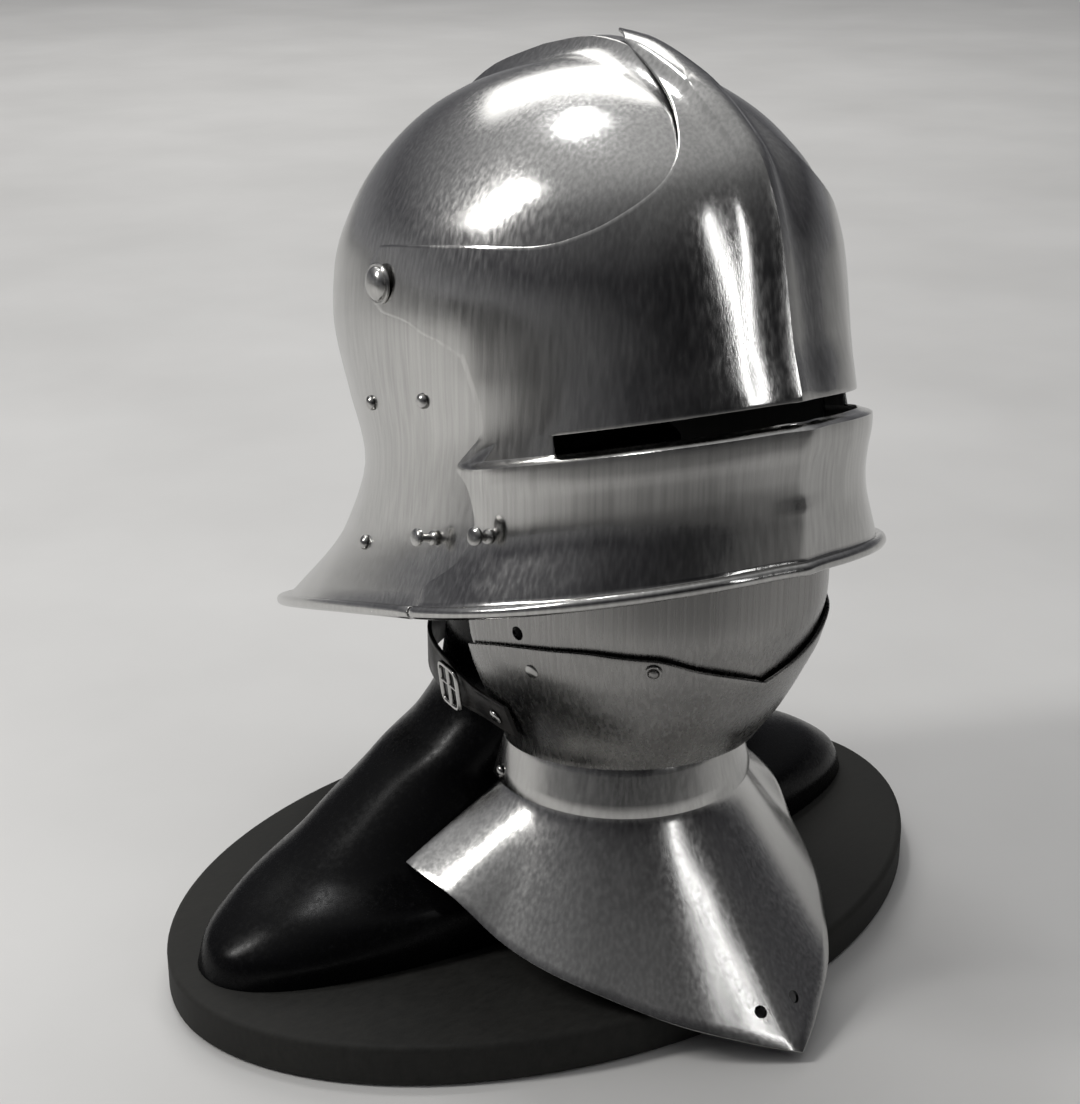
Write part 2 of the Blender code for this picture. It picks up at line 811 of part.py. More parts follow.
def boxed(wide, deep, tall):
    half, depth, rise = wide / 2, deep / 2, tall / 2
    corners = ((-half, -depth), (half, -depth), (half, depth), (-half, depth))
    return lofted([[Vector((x, y, z)) for x, y in corners] for z in (-rise, rise)])


def strap_path(share):
    """Middle of the inner face of the strap, from the right end (-1) round the back to the left end (1)."""
    turn = abs(share) * pi / 2
    x = STRAP_HALF * sin(turn) ** (2 / 2.6)
    y = STRAP_FRONT + (STRAP_BACK * cos(turn) ** (2 / 2.6) if abs(share) < 1 else 0.0)
    return Vector((x if share > 0 else -x, y, TAB_LEVEL + 0.002 * cos(turn)))


for old in list(bpy.data.objects):
    bpy.data.objects.remove(old)

helmet = bpy.data.objects.new("sallet_frame", None)
bpy.context.collection.objects.link(helmet)
helmet.location = (0.0, BOWL_BACK, BOWL_HEIGHT)
helmet.rotation_mode = "YXZ"
helmet.rotation_euler = (PITCH, LEAN, 0.0)

# Skull
RINGS = bowl_rings(13)
COLUMNS = 18
FACE_COLUMN = 6
REAR_COLUMN = 9
BROW_RING = next(k for k, place in enumerate(RINGS) if place >= BROW)
sheet, side_key = skull_sheet(RINGS, COLUMNS, COMB_LINES, BROW_RING, FACE_COLUMN)
rim = len(RINGS) - 1
for side in (-1, 1):
    for column in range(REAR_COLUMN, COLUMNS + 1):
        sheet.rolled.add(sheet.index[side_key(side, rim, column)])
for k in range(len(COMB_LINES)):
    sheet.rolled.add(sheet.index[("comb", "back", rim, k)])
skull = node("skull", *sheet.solid(PLATE), STEEL)
skull.parent = helmet

# Visor
sheet = visor_sheet(11, 6, 11, 8, 3, COMB_LINES, VISOR_LOWER)
visor = node("visor", *sheet.solid(PLATE), STEEL)
placed(visor, (0.0, HINGE_BACK, HINGE_RISE))
visor.parent = helmet

# Hinge rivets of the visor, lining rivets and pegs
hinge_out = bowl_half(HINGE_PLACE) + LAP + PLATE
for side in ("right", "left"):
    spot = mirrored(Vector((-hinge_out, HINGE_BACK, HINGE_RISE)), side)
    rivet("visor_rivet_" + side, (visor, skull), spot, mirrored(Vector((-1, 0, 0)), side), PIVOT_RADIUS,
          PIVOT_HEAD, LAP + 2 * PLATE, SHANK_RADIUS, STEEL, PIVOT_SEAT, 14)
for side in ("right", "left"):
    for count, (turn, place) in enumerate(LINING_RIVETS):
        spot = mirrored(bowl_point(radians(turn), place), side)
        out = mirrored(bowl_normal(radians(turn), place), side)
        rivet("lining_rivet_" + side + "_" + str(count + 1), (skull,), spot, out, LINING_RADIUS,
              LINING_HEAD, PLATE, LINING_SHANK, STEEL, LINING_SEAT if place < PEG_PLACE else HEM_SEAT)
pegs = (
    ("skull_peg", skull, SKULL_PEG_TURN, PEG_LIFT),
    ("visor_peg", visor, VISOR_PEG_TURN, visor_step(radians(VISOR_PEG_TURN), PEG_PLACE)),
)
neck = PEG_RADIUS * 0.4
for name, target, turn, lift in pegs:
    out = bowl_normal(radians(turn), PEG_PLACE)
    foot = bowl_point(radians(turn), PEG_PLACE) + out * lift
    peg = node(name, *turned((
        (-PLATE, 0), (-PLATE, neck), (SEAT, neck), (SEAT, PEG_RADIUS), (PEG_COLLAR, PEG_RADIUS * 0.9),
        (PEG_COLLAR * 1.4, PEG_RADIUS * 0.55), (PEG_LONG - PEG_HEAD * 1.3, PEG_RADIUS * 0.5),
        (PEG_LONG - PEG_HEAD, PEG_RADIUS * 1.1), (PEG_LONG - PEG_HEAD * 0.2, PEG_RADIUS * 1.2),
        (PEG_LONG, PEG_RADIUS * 0.8), (PEG_LONG, 0),
    ), 10, foot, out), STEEL)
    bore(target, foot - out * PLATE / 2, out, neck + BORE_GAP, BORE_REACH + PLATE)
    peg.parent = helmet

# Bevor plates
lower_sheet = fan_sheet(20, 5, lower_plate, widened, BEVOR_TURN)
bevor_lower = node("bevor_lower_plate", *lower_sheet.solid(PLATE), STEEL)
upper_sheet = fan_sheet(20, 5, upper_plate, even, BEVOR_TURN)
bevor_upper = node("bevor_upper_plate", *upper_sheet.solid(PLATE), STEEL)
fall = bevor_point(radians(FALL_TURN), FALL_LEVEL)
placed(bevor_upper, (0.0, fall.y, fall.z))
hole = bevor_point(radians(HOLE_TURN), HOLE_LEVEL)
for side in ("right", "left"):
    out = mirrored(bevor_out(radians(FALL_TURN), FALL_LEVEL), side)
    rivet("bevor_rivet_" + side, (bevor_lower, bevor_upper), mirrored(fall, side), out, BEVOR_RIVET,
          BEVOR_RIVET_HEAD, 2 * PLATE + 2 * PLATE_GAP, SMALL_SHANK, STEEL)
    out = mirrored(bevor_out(radians(HOLE_TURN), HOLE_LEVEL), side)
    bore(bevor_upper, mirrored(hole, side), out, HOLE_RADIUS, BORE_REACH)
out = bevor_out(radians(CATCH_TURN), CATCH_LEVEL)
foot = bevor_point(radians(CATCH_TURN), CATCH_LEVEL)
catch = node("catch_button", *turned((
    (-PLATE - SEAT, 0), (-PLATE - SEAT, CATCH_STEM), (SEAT, CATCH_STEM), (SEAT, CATCH_RADIUS),
    (CATCH_RIM * 0.85, CATCH_RADIUS), (CATCH_RIM, CATCH_RADIUS * 0.90), (CATCH_RIM, CATCH_RADIUS * 0.68),
    (CATCH_RIM * 0.60, CATCH_RADIUS * 0.60), (CATCH_HEAD * 0.81, CATCH_RADIUS * 0.53),
    (CATCH_HEAD * 0.96, CATCH_RADIUS * 0.32), (CATCH_HEAD, 0),
), 10, foot, out), STEEL)
bore(bevor_lower, foot, out, CATCH_STEM + BORE_GAP, BORE_REACH)

# Collar and gorget
collar_sheet = fan_sheet(20, 1, collar_plate, even, COLLAR_TURN)
collar = node("collar", *collar_sheet.solid(PLATE), STEEL)
gorget_sheet = fan_sheet(20, 5, gorget_plate, narrowed, COLLAR_TURN)
gorget = node("gorget_plate", *gorget_sheet.solid(PLATE), STEEL)
for turn in (-KEEL_HOLE_TURN, KEEL_HOLE_TURN):
    hole = gorget_plate(radians(turn), KEEL_HOLE_DOWN)
    bore(gorget, hole, (0, -0.9, 0.45), KEEL_HOLE_RADIUS, 2 * BORE_REACH)
spot = collar_plate(radians(COLLAR_RIVET_TURN), COLLAR_RIVET_DOWN)
out = Vector((spot.x, spot.y - NECK_BACK, 0)).normalized()
for side in ("right", "left"):
    rivet("collar_rivet_" + side, (collar, gorget), mirrored(spot, side), mirrored(out, side), COLLAR_RIVET,
          COLLAR_RIVET_HEAD, 2 * PLATE + COLLAR_SPACE, LINING_SHANK, STEEL, COLLAR_SEAT)

# Neck strap and buckle
band = []
for k in range(STRAP_STEPS + 1):
    share = -1 + 2 * k / STRAP_STEPS
    inner = strap_path(share)
    out = strap_out(share)
    outer = inner + out * STRAP_THICK
    rise = (Vector((0, 0, 1)) + out * strap_lean(share)).normalized() * STRAP_WIDE / 2
    band.append([inner - rise, outer - rise, outer + rise, inner + rise])
strap = node("neck_strap", *lofted(band), LEATHER)
out = bevor_out(radians(TAB_TURN), TAB_LEVEL)
spot = strap_path(STRAP_RIVET_AT) + out * STRAP_THICK
for side in ("right", "left"):
    rivet("strap_rivet_" + side, (strap, bevor_lower), mirrored(spot, side), mirrored(out, side),
          STRAP_RIVET, STRAP_RIVET_HEAD, STRAP_THICK + PLATE + STRAP_SPACE, SMALL_SHANK, STEEL, LINING_SEAT)
buckle = node("strap_buckle", *boxed(BUCKLE_BAR, BUCKLE_LONG, BUCKLE_TALL), STEEL)
window = (BUCKLE_LONG - 3 * BUCKLE_BAR) / 2
for way in (-1, 1):
    cutter = node("buckle_window_" + str(way), *boxed(
        3 * BUCKLE_BAR, window, BUCKLE_TALL - 2 * BUCKLE_BAR), STEEL)
    cutter.data.transform(Matrix.Translation((0, way * (window + BUCKLE_BAR) / 2, 0)))
    cut_with(buckle, cutter)
    cutter.parent = buckle
run = strap_path(BUCKLE_AT + 0.06) - strap_path(BUCKLE_AT - 0.06)
buckle.rotation_mode = "YXZ"
buckle.rotation_euler = (0, -strap_lean(BUCKLE_AT), atan2(-run.x, run.y))
proud = STRAP_THICK + BUCKLE_BAR / 2 + BUCKLE_LIFT
buckle.location = strap_path(BUCKLE_AT) + strap_out(BUCKLE_AT) * proud

# Stand
chamfer = ((BASE_EASE, 0.0), (0.0, BASE_EASE), (0.0, BASE_THICK - BASE_EASE), (BASE_EASE, BASE_THICK))
base = node("base_board", *lofted([
    oval(BASE_LONG - inset, BASE_DEEP - inset, 0, level, BASE_SIDES, BASE_SQUARE) for inset, level in chamfer
]), MATT_BLACK)
bust = node("neck_bust", *lofted(bust_rings(20)), GLOSS_BLACK)
bpy.context.view_layer.update()
foot_y = SHOULDER_DEEP * BUST[-1][3]
start = BASE_THICK + 2 * RUN_GAP + BUST[-1][0]
rings = [[Vector((POST_RADIUS * cos(2 * pi * k / 16), foot_y + POST_RADIUS * sin(2 * pi * k / 16), level))
          for k in range(16)] for level in (start, BOWL_HEIGHT + 0.03)]
for place, drop in ((0.24, 0.010), (0.24, 0.0), (0.16, 0.0), (0.08, 0.0), (0.03, 0.0)):
    ring = []
    for k in range(16):
        turn = -pi / 2 - 2 * pi * k / 16
        point = bowl_point(turn, place) - bowl_normal(turn, place) * (PLATE + POST_GAP)
        ring.append(helmet.matrix_world @ point - Vector((0, 0, drop)))
    rings.append(ring)
post = node("head_post", *lofted(rings), MATT_BLACK)
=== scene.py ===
"""Looks of the sallet with its bevor, collar and gorget on the neck stand, in metres, front towards -Y."""

from math import asin, atan2, cos, pi, radians, sin

import bpy
from mathutils import Euler, Matrix, Vector


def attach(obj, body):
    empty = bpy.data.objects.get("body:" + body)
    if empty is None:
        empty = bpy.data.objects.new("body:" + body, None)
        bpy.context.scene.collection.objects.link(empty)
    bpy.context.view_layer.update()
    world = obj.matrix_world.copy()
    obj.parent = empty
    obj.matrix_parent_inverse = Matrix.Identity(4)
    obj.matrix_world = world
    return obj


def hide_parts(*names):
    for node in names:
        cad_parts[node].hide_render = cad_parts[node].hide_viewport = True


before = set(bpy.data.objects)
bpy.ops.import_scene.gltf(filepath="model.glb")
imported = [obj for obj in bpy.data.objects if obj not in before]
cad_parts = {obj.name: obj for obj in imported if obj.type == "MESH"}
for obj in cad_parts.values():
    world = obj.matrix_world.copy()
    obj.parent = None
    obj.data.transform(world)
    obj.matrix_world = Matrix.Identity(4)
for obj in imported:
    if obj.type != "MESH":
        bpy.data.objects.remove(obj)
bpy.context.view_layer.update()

# Camera: its place round the helmet and the point it looks at.
VIEW_TURN = radians(-37)
VIEW_REACH = 0.9505
VIEW_HEIGHT = 0.567
LOOK_AT = Vector((-0.0064, 0.0048, 0.1982))
IMAGE_HEIGHT = 1104
FOCUS_PIXELS = 2000
SENSOR = 0.036

# Studio: painted shade on the pale paper floor starts this far towards the viewer and darkens it over this
# much more, down to the share below.
PAINTED_SHADE_START = 0.36
PAINTED_SHADE_FADE = 0.50
PAINTED_SHADE_LEVEL = 0.42
FLOOR_REACH = 9.0
ROOM_STRENGTH = 0.66

# Cut edges of the plates are rounded by this much; other edges are sharp above these angles.
EDGE_ROUND = 0.0005
EDGE_TURN = 62
PLATE_SHARP = 32
SMALL_SHARP = 40
SIDES = ("right", "left")


# Driving sizes of the sallet bowl, measured from its centre.
HALF_WIDTH = 0.1038
FRONT_REACH = 0.1385
BACK_REACH = 0.1465
TAIL_REACH = 0.265
CROWN_RISE = 0.0935
RIM_DROP = 0.1520
BOWL_HEIGHT = 0.3517
BOWL_BACK = -0.017
PITCH = radians(-15.7)
LEAN = radians(2.7)

# Plates, laps and rolled rims.
PLATE = 0.0018
LAP = 0.0018
RUN_GAP = 0.0003
ROLL = 0.0030
COMB_RISE = 0.0088
COMB_FLAT = 0.0050
COMB_SPREAD = 0.017
LEDGE = 0.0060
SLOT_TOP = 0.795
SLOT_SHARE = 8 / 11
BROW = 0.70

# Visor hinge and its rivets, and the small rivets and pegs.
HINGE_BACK = 0.0005
HINGE_RISE = 0.0
PIVOT_RADIUS = 0.0092
SHANK_RADIUS = 0.0030
LINING_RADIUS = 0.0036
LINING_SHANK = 0.0012
PEG_RADIUS = 0.0034
PEG_LONG = 0.011
HINGE_PLACE = 0.55
LINING_SEAT = 0.0006
HEM_SEAT = 0.0013
PEG_PLACE = 0.912
PEG_LIFT = 0.0008
SKULL_PEG_TURN = 86.5
VISOR_PEG_TURN = 69.5
SEAT = 0.0004
BORE_GAP = 0.0005

# Bevor, collar and gorget, measured from the middle of the neck.
NECK_BACK = -0.054
BEVOR_BACK = -0.060
BEVOR_HALF = 0.0865
BEVOR_FRONT = 0.1085
COLLAR_HALF = 0.0658
COLLAR_TAPER = 0.0066
GORGET_REACH = 0.136
BEVOR_TOP = 0.250
BEVOR_LOW = 0.128
COLLAR_LOW = 0.104
GORGET_LOW = 0.006
PLATE_GAP = 0.0008
EASE = 0.0010
EASE_TOP = 0.222
EASE_DEEP = 0.024
FALL_TURN = 73
FALL_LEVEL = 0.186
CATCH_TURN = 38
CATCH_LEVEL = 0.1978
HOLE_TURN = 79
HOLE_LEVEL = 0.2020
HOLE_RADIUS = 0.0034
TAB_TURN = 97
TAB_LEVEL = 0.147
BEVOR_RIVET = 0.0036
CATCH_STEM = 0.0019
COLLAR_RIVET = 0.0034
COLLAR_RIVET_TURN = 104
COLLAR_RIVET_DOWN = 0.82
KEEL_HOLE_TURN = 5
KEEL_HOLE_DOWN = 0.88
KEEL_HOLE_RADIUS = 0.0030

# Neck strap and buckle.
STRAP_WIDE = 0.020
STRAP_THICK = 0.0022
STRAP_HALF = 0.0714
STRAP_FRONT = -0.062
STRAP_BACK = 0.124
STRAP_LEAN = 0.40
STRAP_STEPS = 24
STRAP_RIVET = 0.0040
STRAP_RIVET_AT = -0.97
BUCKLE_TALL = 0.024
BUCKLE_LONG = 0.021
BUCKLE_BAR = 0.0028
BUCKLE_AT = -0.80
BUCKLE_LIFT = 0.0013

# Stand.
BASE_LONG = 0.221
BASE_DEEP = 0.152
BASE_THICK = 0.022
BASE_EASE = 0.0035
BASE_SIDES = 36
BASE_SQUARE = 1.9
BUST_SQUARE = 2.2
SHOULDER_HALF = 0.208
SHOULDER_DEEP = 0.066

# Bowl form: place, side out and up, back out and up, front out and up, as shares of the sizes above.
BOWL = (
    (0.00, 0.000, 1.000, 0.000, 1.000, 0.000, 1.000),
    (0.08, 0.254, 0.975, 0.228, 0.986, 0.228, 0.984),
    (0.16, 0.472, 0.893, 0.428, 0.919, 0.416, 0.908),
    (0.26, 0.700, 0.720, 0.640, 0.745, 0.620, 0.745),
    (0.38, 0.892, 0.456, 0.838, 0.465, 0.805, 0.518),
    (0.50, 1.000, 0.150, 0.978, 0.125, 0.940, 0.228),
    (0.60, 1.028, -0.093, 1.020, -0.120, 0.980, -0.080),
    (0.70, 1.004, -0.300, 0.990, -0.333, 0.980, -0.300),
    (0.80, 0.974, -0.500, 0.958, -0.530, 0.998, -0.485),
    (0.90, 0.995, -0.735, 1.230, -0.800, 0.975, -0.710),
    (1.00, 1.100, -0.960, TAIL_REACH / BACK_REACH, -1.095, 0.940, -0.920),
)

# Comb form: place, rise and flat width to the front, rise and flat width to the back.
COMB = (
    (0.00, 1.00, 1.00, 1.00, 1.00),
    (0.10, 0.92, 1.00, 1.00, 1.00),
    (0.26, 0.74, 1.00, 0.80, 0.80),
    (0.38, 0.70, 0.75, 0.50, 0.60),
    (0.50, 0.58, 0.30, 0.20, 0.40),
    (0.60, 0.46, 0.08, 0.04, 0.30),
    (0.80, 0.34, 0.04, 0.00, 0.20),
    (1.00, 0.14, 0.04, 0.00, 0.20),
)

# Visor top edge: angle from the front in degrees, place on the bowl.
VISOR_TOP = (
    (0, 0.150), (5, 0.180), (7, 0.236), (10, 0.314), (14, 0.395), (18, 0.448), (24, 0.489),
    (32, 0.517), (40, 0.534), (48, 0.541), (69, 0.515), (93, 0.492), (110, 0.492),
)

# Visor rear edge below the arm: place on the bowl, angle from the front in degrees.
VISOR_REAR = (
    (0.66, 71.0), (0.73, 69.8), (0.785, 70.6), (0.805, 74.0), (0.827, 77.5), (0.851, 74.5),
    (0.890, 73.2), (0.930, 75.5), (0.955, 80.0), (0.975, 86.0), (1.00, 87.0),
)

# Lower edge of the visor arm: angle from the front in degrees, place on the bowl.
ARM_LOW = ((71, 0.668), (76, 0.646), (79, 0.636), (83, 0.616), (88, 0.603), (90.5, 0.598))

# Visor form: place on the bowl, outward step as a share of the ledge.
VISOR_STEP = (
    (0.00, 0.00), (0.819, 0.00), (0.828, 1.00), (0.846, 0.88),
    (0.870, 0.50), (0.905, 0.12), (0.94, 0.0), (1.00, 0.0),
)

# Lining rivets on each side of the skull: angle from the front in degrees, place on the bowl.
LINING_RIVETS = ((106.0, 0.725), (85.2, 0.728), (109.3, 0.921))

# Bevor plates: height, half width, front reach, as shares of the bevor sizes.
BEVOR = (
    (0.122, 0.730, 0.540),
    (0.139, 0.765, 0.660),
    (0.153, 0.840, 0.755),
    (0.176, 0.945, 0.870),
    (0.191, 0.985, 0.940),
    (0.215, 1.000, 1.000),
    (0.237, 0.994, 1.000),
    (0.262, 0.975, 0.985),
)

# Top edge of the lower bevor plate: angle from the front in degrees, height.
SEAM = (
    (0, 0.184), (12, 0.191), (25, 0.197), (39, 0.203), (53, 0.203), (70, 0.199), (85, 0.193), (102, 0.183),
)

# Gorget: angle from the front in degrees, reach of the lower edge and its height as a share of the drop.
GORGET = (
    (0, 1.000, 0.000), (20, 0.880, 0.135), (44, 0.770, 0.270), (73, 0.735, 0.420), (90, 0.775, 0.580),
    (112, 0.860, 0.640),
)

# Bust: height, half width and half depth as shares, back offset in shares of the half depth.
BUST = (
    (0.0000, 1.000, 0.960, 0.10),
    (0.0120, 0.975, 1.000, 0.11),
    (0.0250, 0.893, 1.000, 0.13),
    (0.0400, 0.725, 0.868, 0.24),
    (0.0560, 0.600, 0.795, 0.27),
    (0.0740, 0.475, 0.710, 0.27),
    (0.0920, 0.350, 0.740, 0.17),
    (0.1120, 0.285, 0.760, 0.08),
    (0.1360, 0.272, 0.800, 0.00),
    (0.1800, 0.270, 0.820, -0.08),
    (0.2400, 0.270, 0.820, -0.12),
)


def smooth(rows, place, column):
    """A table column at a place, smooth through the rows."""
    count = len(rows)
    place = min(max(place, rows[0][0]), rows[-1][0])
    slopes = [
        (rows[i + 1][column] - rows[i][column]) / (rows[i + 1][0] - rows[i][0]) for i in range(count - 1)
    ]
    bends = [slopes[0]]
    for before, after in zip(slopes, slopes[1:]):
        bends.append(0.0 if before * after <= 0 else 2 * before * after / (before + after))
    bends.append(slopes[-1])
    i = max(k for k in range(count - 1) if rows[k][0] <= place)
    span = rows[i + 1][0] - rows[i][0]
    t = (place - rows[i][0]) / span
    return (
        (2 * t**3 - 3 * t**2 + 1) * rows[i][column]
        + (t**3 - 2 * t**2 + t) * span * bends[i]
        + (3 * t**2 - 2 * t**3) * rows[i + 1][column]
        + (t**3 - t**2) * span * bends[i + 1]
    )


def height(share):
    return share * (CROWN_RISE if share > 0 else RIM_DROP)


BOWL_ROWS = [
    (
        row[0], row[1] * HALF_WIDTH, height(row[2]), row[3] * BACK_REACH, height(row[4]),
        row[5] * FRONT_REACH, height(row[6]),
    )
    for row in BOWL
]


def bowl_half(place):
    return smooth(BOWL_ROWS, place, 1)


def bowl_point(angle, place):
    """Plain outer form of the bowl; the angle is 0 at the front, pi at the back, right side negative x."""
    share = cos(angle)
    reach, end = (5, 6) if share > 0 else (3, 4)
    side_up = smooth(BOWL_ROWS, place, 2)
    end_up = smooth(BOWL_ROWS, place, end)
    return Vector((
        -bowl_half(place) * sin(angle),
        -smooth(BOWL_ROWS, place, reach) * share,
        side_up + (end_up - side_up) * share * share,
    ))


def bowl_normal(angle, place):
    """Outward direction of the bowl form."""
    along = bowl_point(angle + 0.01, place) - bowl_point(angle - 0.01, place)
    down = bowl_point(angle, min(place + 0.004, 1.0)) - bowl_point(angle, place - 0.004)
    return along.cross(down).normalized()


POLE = next(k / 2000 for k in range(2000) if bowl_half(k / 2000) >= COMB_SPREAD)


def strip_point(side, front, place):
    """A point of the comb strip at a signed share of its half width, on the front or the back."""
    near = place - POLE * max(0.0, 1 - (place - POLE) / 0.3) ** 2
    end = 0.0 if front else pi
    middle = bowl_point(end, near)
    step = bowl_point(end, near + 0.004) - bowl_point(end, max(near - 0.004, 0.0))
    lift = Vector((0.0, -step.z, step.y)) if front else Vector((0.0, step.z, -step.y))
    inwards = lift.y > 0 if front else lift.y < 0
    lift = -lift.normalized() if lift.z < -0.2 or inwards else lift.normalized()
    turn = asin(min(1.0, COMB_SPREAD / bowl_half(place)))
    edge = bowl_point(turn if front else pi - turn, place)
    share = abs(side)
    spread = share * share
    base = middle + (edge - middle) * spread
    base.x = side * COMB_SPREAD
    rise = COMB_RISE * smooth(COMB, near, 1 if front else 3)
    flat = COMB_FLAT / COMB_SPREAD * smooth(COMB, near, 2 if front else 4)
    fall = 1.0 if share <= flat else max(0.0, 1 - (share - flat) / (1 - flat)) ** 2.3
    return base + lift * rise * fall


def side_angle(share, place):
    """Angle of a skull column; share 0 is the comb strip's edge at the front and 1 its edge at the back."""
    turn = asin(min(1.0, COMB_SPREAD / bowl_half(place)))
    return turn + share * (pi - 2 * turn)


class Sheet:
    """An open sheet of faces that share points by key."""

    def __init__(self):
        self.points = []
        self.index = {}
        self.faces = []
        self.rolled = set()

    def add(self, key, point):
        if key not in self.index:
            self.index[key] = len(self.points)
            self.points.append(Vector(point))
        return self.index[key]

    def face(self, *keys):
        corners = []
        for key in keys:
            if self.index[key] not in corners:
                corners.append(self.index[key])
        if len(corners) > 2:
            self.faces.append(corners)

    def normals(self):
        sums = [Vector() for _ in self.points]
        for corners in self.faces:
            for i, corner in enumerate(corners):
                before = self.points[corners[i - 1]] - self.points[corner]
                after = self.points[corners[(i + 1) % len(corners)]] - self.points[corner]
                weight = after.cross(before)
                if weight.length > 0:
                    sums[corner] += weight.normalized() * after.angle(before)
        return [total.normalized() for total in sums]

    def solid(self, thick, steps=5, roll=ROLL):
        """Vertices and faces of the closed plate, its wall inwards, with a roll along the rolled edge."""
        normals = self.normals()
        outer = self.points
        inner = [p - n * thick for p, n in zip(outer, normals)]
        count = len(outer)
        verts = list(outer) + inner
        faces = [tuple(f) for f in self.faces] + [tuple(i + count for i in reversed(f)) for f in self.faces]
        seen = {}
        for corners in self.faces:
            for i, a in enumerate(corners):
                seen[(a, corners[(i + 1) % len(corners)])] = True
        open_edges = [edge for edge in seen if (edge[1], edge[0]) not in seen]
        following = dict(open_edges)
        leading = {b: a for a, b in open_edges}
        chains = {}
        for vertex in self.rolled:
            beside = (leading.get(vertex), vertex, following.get(vertex))
            ends = [v for v in beside if v is not None and v in self.rolled]
            along = (outer[ends[-1]] - outer[ends[0]]).normalized()
            out = normals[vertex]
            down = along.cross(out).normalized()
            drop = (roll**2 - (roll - thick) ** 2) ** 0.5
            centre = inner[vertex] + out * roll + down * drop
            first = -asin((roll - thick) / roll)
            chain = []
            for step in range(1, steps + 1):
                turn = first + (1.5 * pi - first) * step / steps
                chain.append(len(verts))
                verts.append(centre + out * roll * sin(turn) - down * roll * cos(turn))
            chains[vertex] = [vertex] + chain + [vertex + count]
        for a, b in open_edges:
            if a in chains and b in chains:
                for j in range(steps + 1):
                    faces.append((chains[b][j], chains[a][j], chains[a][j + 1], chains[b][j + 1]))
                if leading.get(a) not in chains:
                    faces.append(tuple(reversed(chains[a])))
                if following.get(b) not in chains:
                    faces.append(tuple(chains[b]))
            else:
                faces.append((b, a, a + count, b + count))
        return verts, faces


def turned(profile, sides, place, direction):
    """Vertices and faces of a turned solid; the profile gives distance along the axis and radius."""
    turn = Vector((0, 0, 1)).rotation_difference(Vector(direction)).to_matrix()
    verts, faces, rings = [], [], []
    for along, radius in profile:
        if radius == 0:
            rings.append([len(verts)])
            verts.append(Vector(place) + turn @ Vector((0, 0, along)))
            continue
        rings.append([len(verts) + k for k in range(sides)])
        for k in range(sides):
            angle = 2 * pi * k / sides
            verts.append(Vector(place) + turn @ Vector((radius * cos(angle), radius * sin(angle), along)))
    for low, high in zip(rings, rings[1:]):
        for k in range(sides):
            m = (k + 1) % sides
            if len(low) == 1:
                faces.append((low[0], high[m], high[k]))
            elif len(high) == 1:
                faces.append((low[k], low[m], high[0]))
            else:
                faces.append((low[k], low[m], high[m], high[k]))
    return verts, faces


def lofted(rings):
    """Vertices and faces of a solid through rings of points, closed flat at both ends."""
    sides = len(rings[0])
    verts = [v for ring in rings for v in ring]
    faces = [tuple(reversed(range(sides)))]
    for j in range(len(rings) - 1):
        for k in range(sides):
            m = (k + 1) % sides
            faces.append((j * sides + k, j * sides + m, (j + 1) * sides + m, (j + 1) * sides + k))
    last = (len(rings) - 1) * sides
    faces.append(tuple(last + k for k in range(sides)))
    return verts, faces


def oval(half, deep, centre, level, sides, power=2.0):
    ring = []
    for k in range(sides):
        angle = 2 * pi * k / sides
        c, s = cos(angle), sin(angle)
        ring.append(Vector((
            half * (abs(c) ** (2 / power)) * (1 if c > 0 else -1),
            centre + deep * (abs(s) ** (2 / power)) * (1 if s > 0 else -1),
            level,
        )))
    return ring


def bowl_rings(count):
    return [POLE + (1 - POLE) * (k / count) for k in range(count + 1)]


def skull_sheet(rings, columns, comb_lines, brow, face):
    """The bowl without its face opening; brow is the ring and face the column where the opening ends."""
    sheet = Sheet()
    count = len(rings) - 1
    last = len(comb_lines) - 1

    def side_key(side, ring, column):
        if ring == 0:
            return ("comb", "top", 0, 0 if side < 0 else last)
        if column == 0:
            return ("comb", "front", ring, 0 if side < 0 else last)
        if column == columns:
            return ("comb", "back", ring, 0 if side < 0 else last)
        return ("side", side, ring, column)

    for ring, place in enumerate(rings):
        for k, line in enumerate(comb_lines):
            for way in ("front", "back"):
                key = ("comb", way if ring else "top", ring, k)
                sheet.add(key, strip_point(line, way == "front", place))
        for side in (-1, 1):
            for column in range(1, columns):
                point = bowl_point(side_angle(column / columns, place), place)
                sheet.add(side_key(side, ring, column), (point.x * -side, point.y, point.z))
    for ring in range(count):
        for k in range(last):
            for way in ("front", "back"):
                if way == "front" and ring >= brow:
                    continue
                upper = way if ring else "top"
                a, b = ("comb", upper, ring, k), ("comb", upper, ring, k + 1)
                c, d = ("comb", way, ring + 1, k + 1), ("comb", way, ring + 1, k)
                sheet.face(*((d, c, b, a) if way == "front" else (a, b, c, d)))
        for side in (-1, 1):
            for column in range(columns):
                if ring >= brow and column < face:
                    continue
                a, b = side_key(side, ring, column), side_key(side, ring, column + 1)
                c, d = side_key(side, ring + 1, column + 1), side_key(side, ring + 1, column)
                sheet.face(*((d, c, b, a) if side > 0 else (a, b, c, d)))
    return sheet, side_key


def top_place(angle):
    return smooth(VISOR_TOP, angle * 180 / pi, 1)


def visor_angle(share, place):
    """Angle of a visor column; share 1 is the rear edge, which only the rearmost columns follow."""
    turn = asin(min(1.0, COMB_SPREAD / bowl_half(place)))
    root = radians(VISOR_REAR[0][1])
    late = max(0.0, (share - SLOT_SHARE) / (1 - SLOT_SHARE))
    bend = late * late * (3 - 2 * late)
    return turn + share * (root - turn) + bend * (radians(smooth(VISOR_REAR, place, 1)) - root)


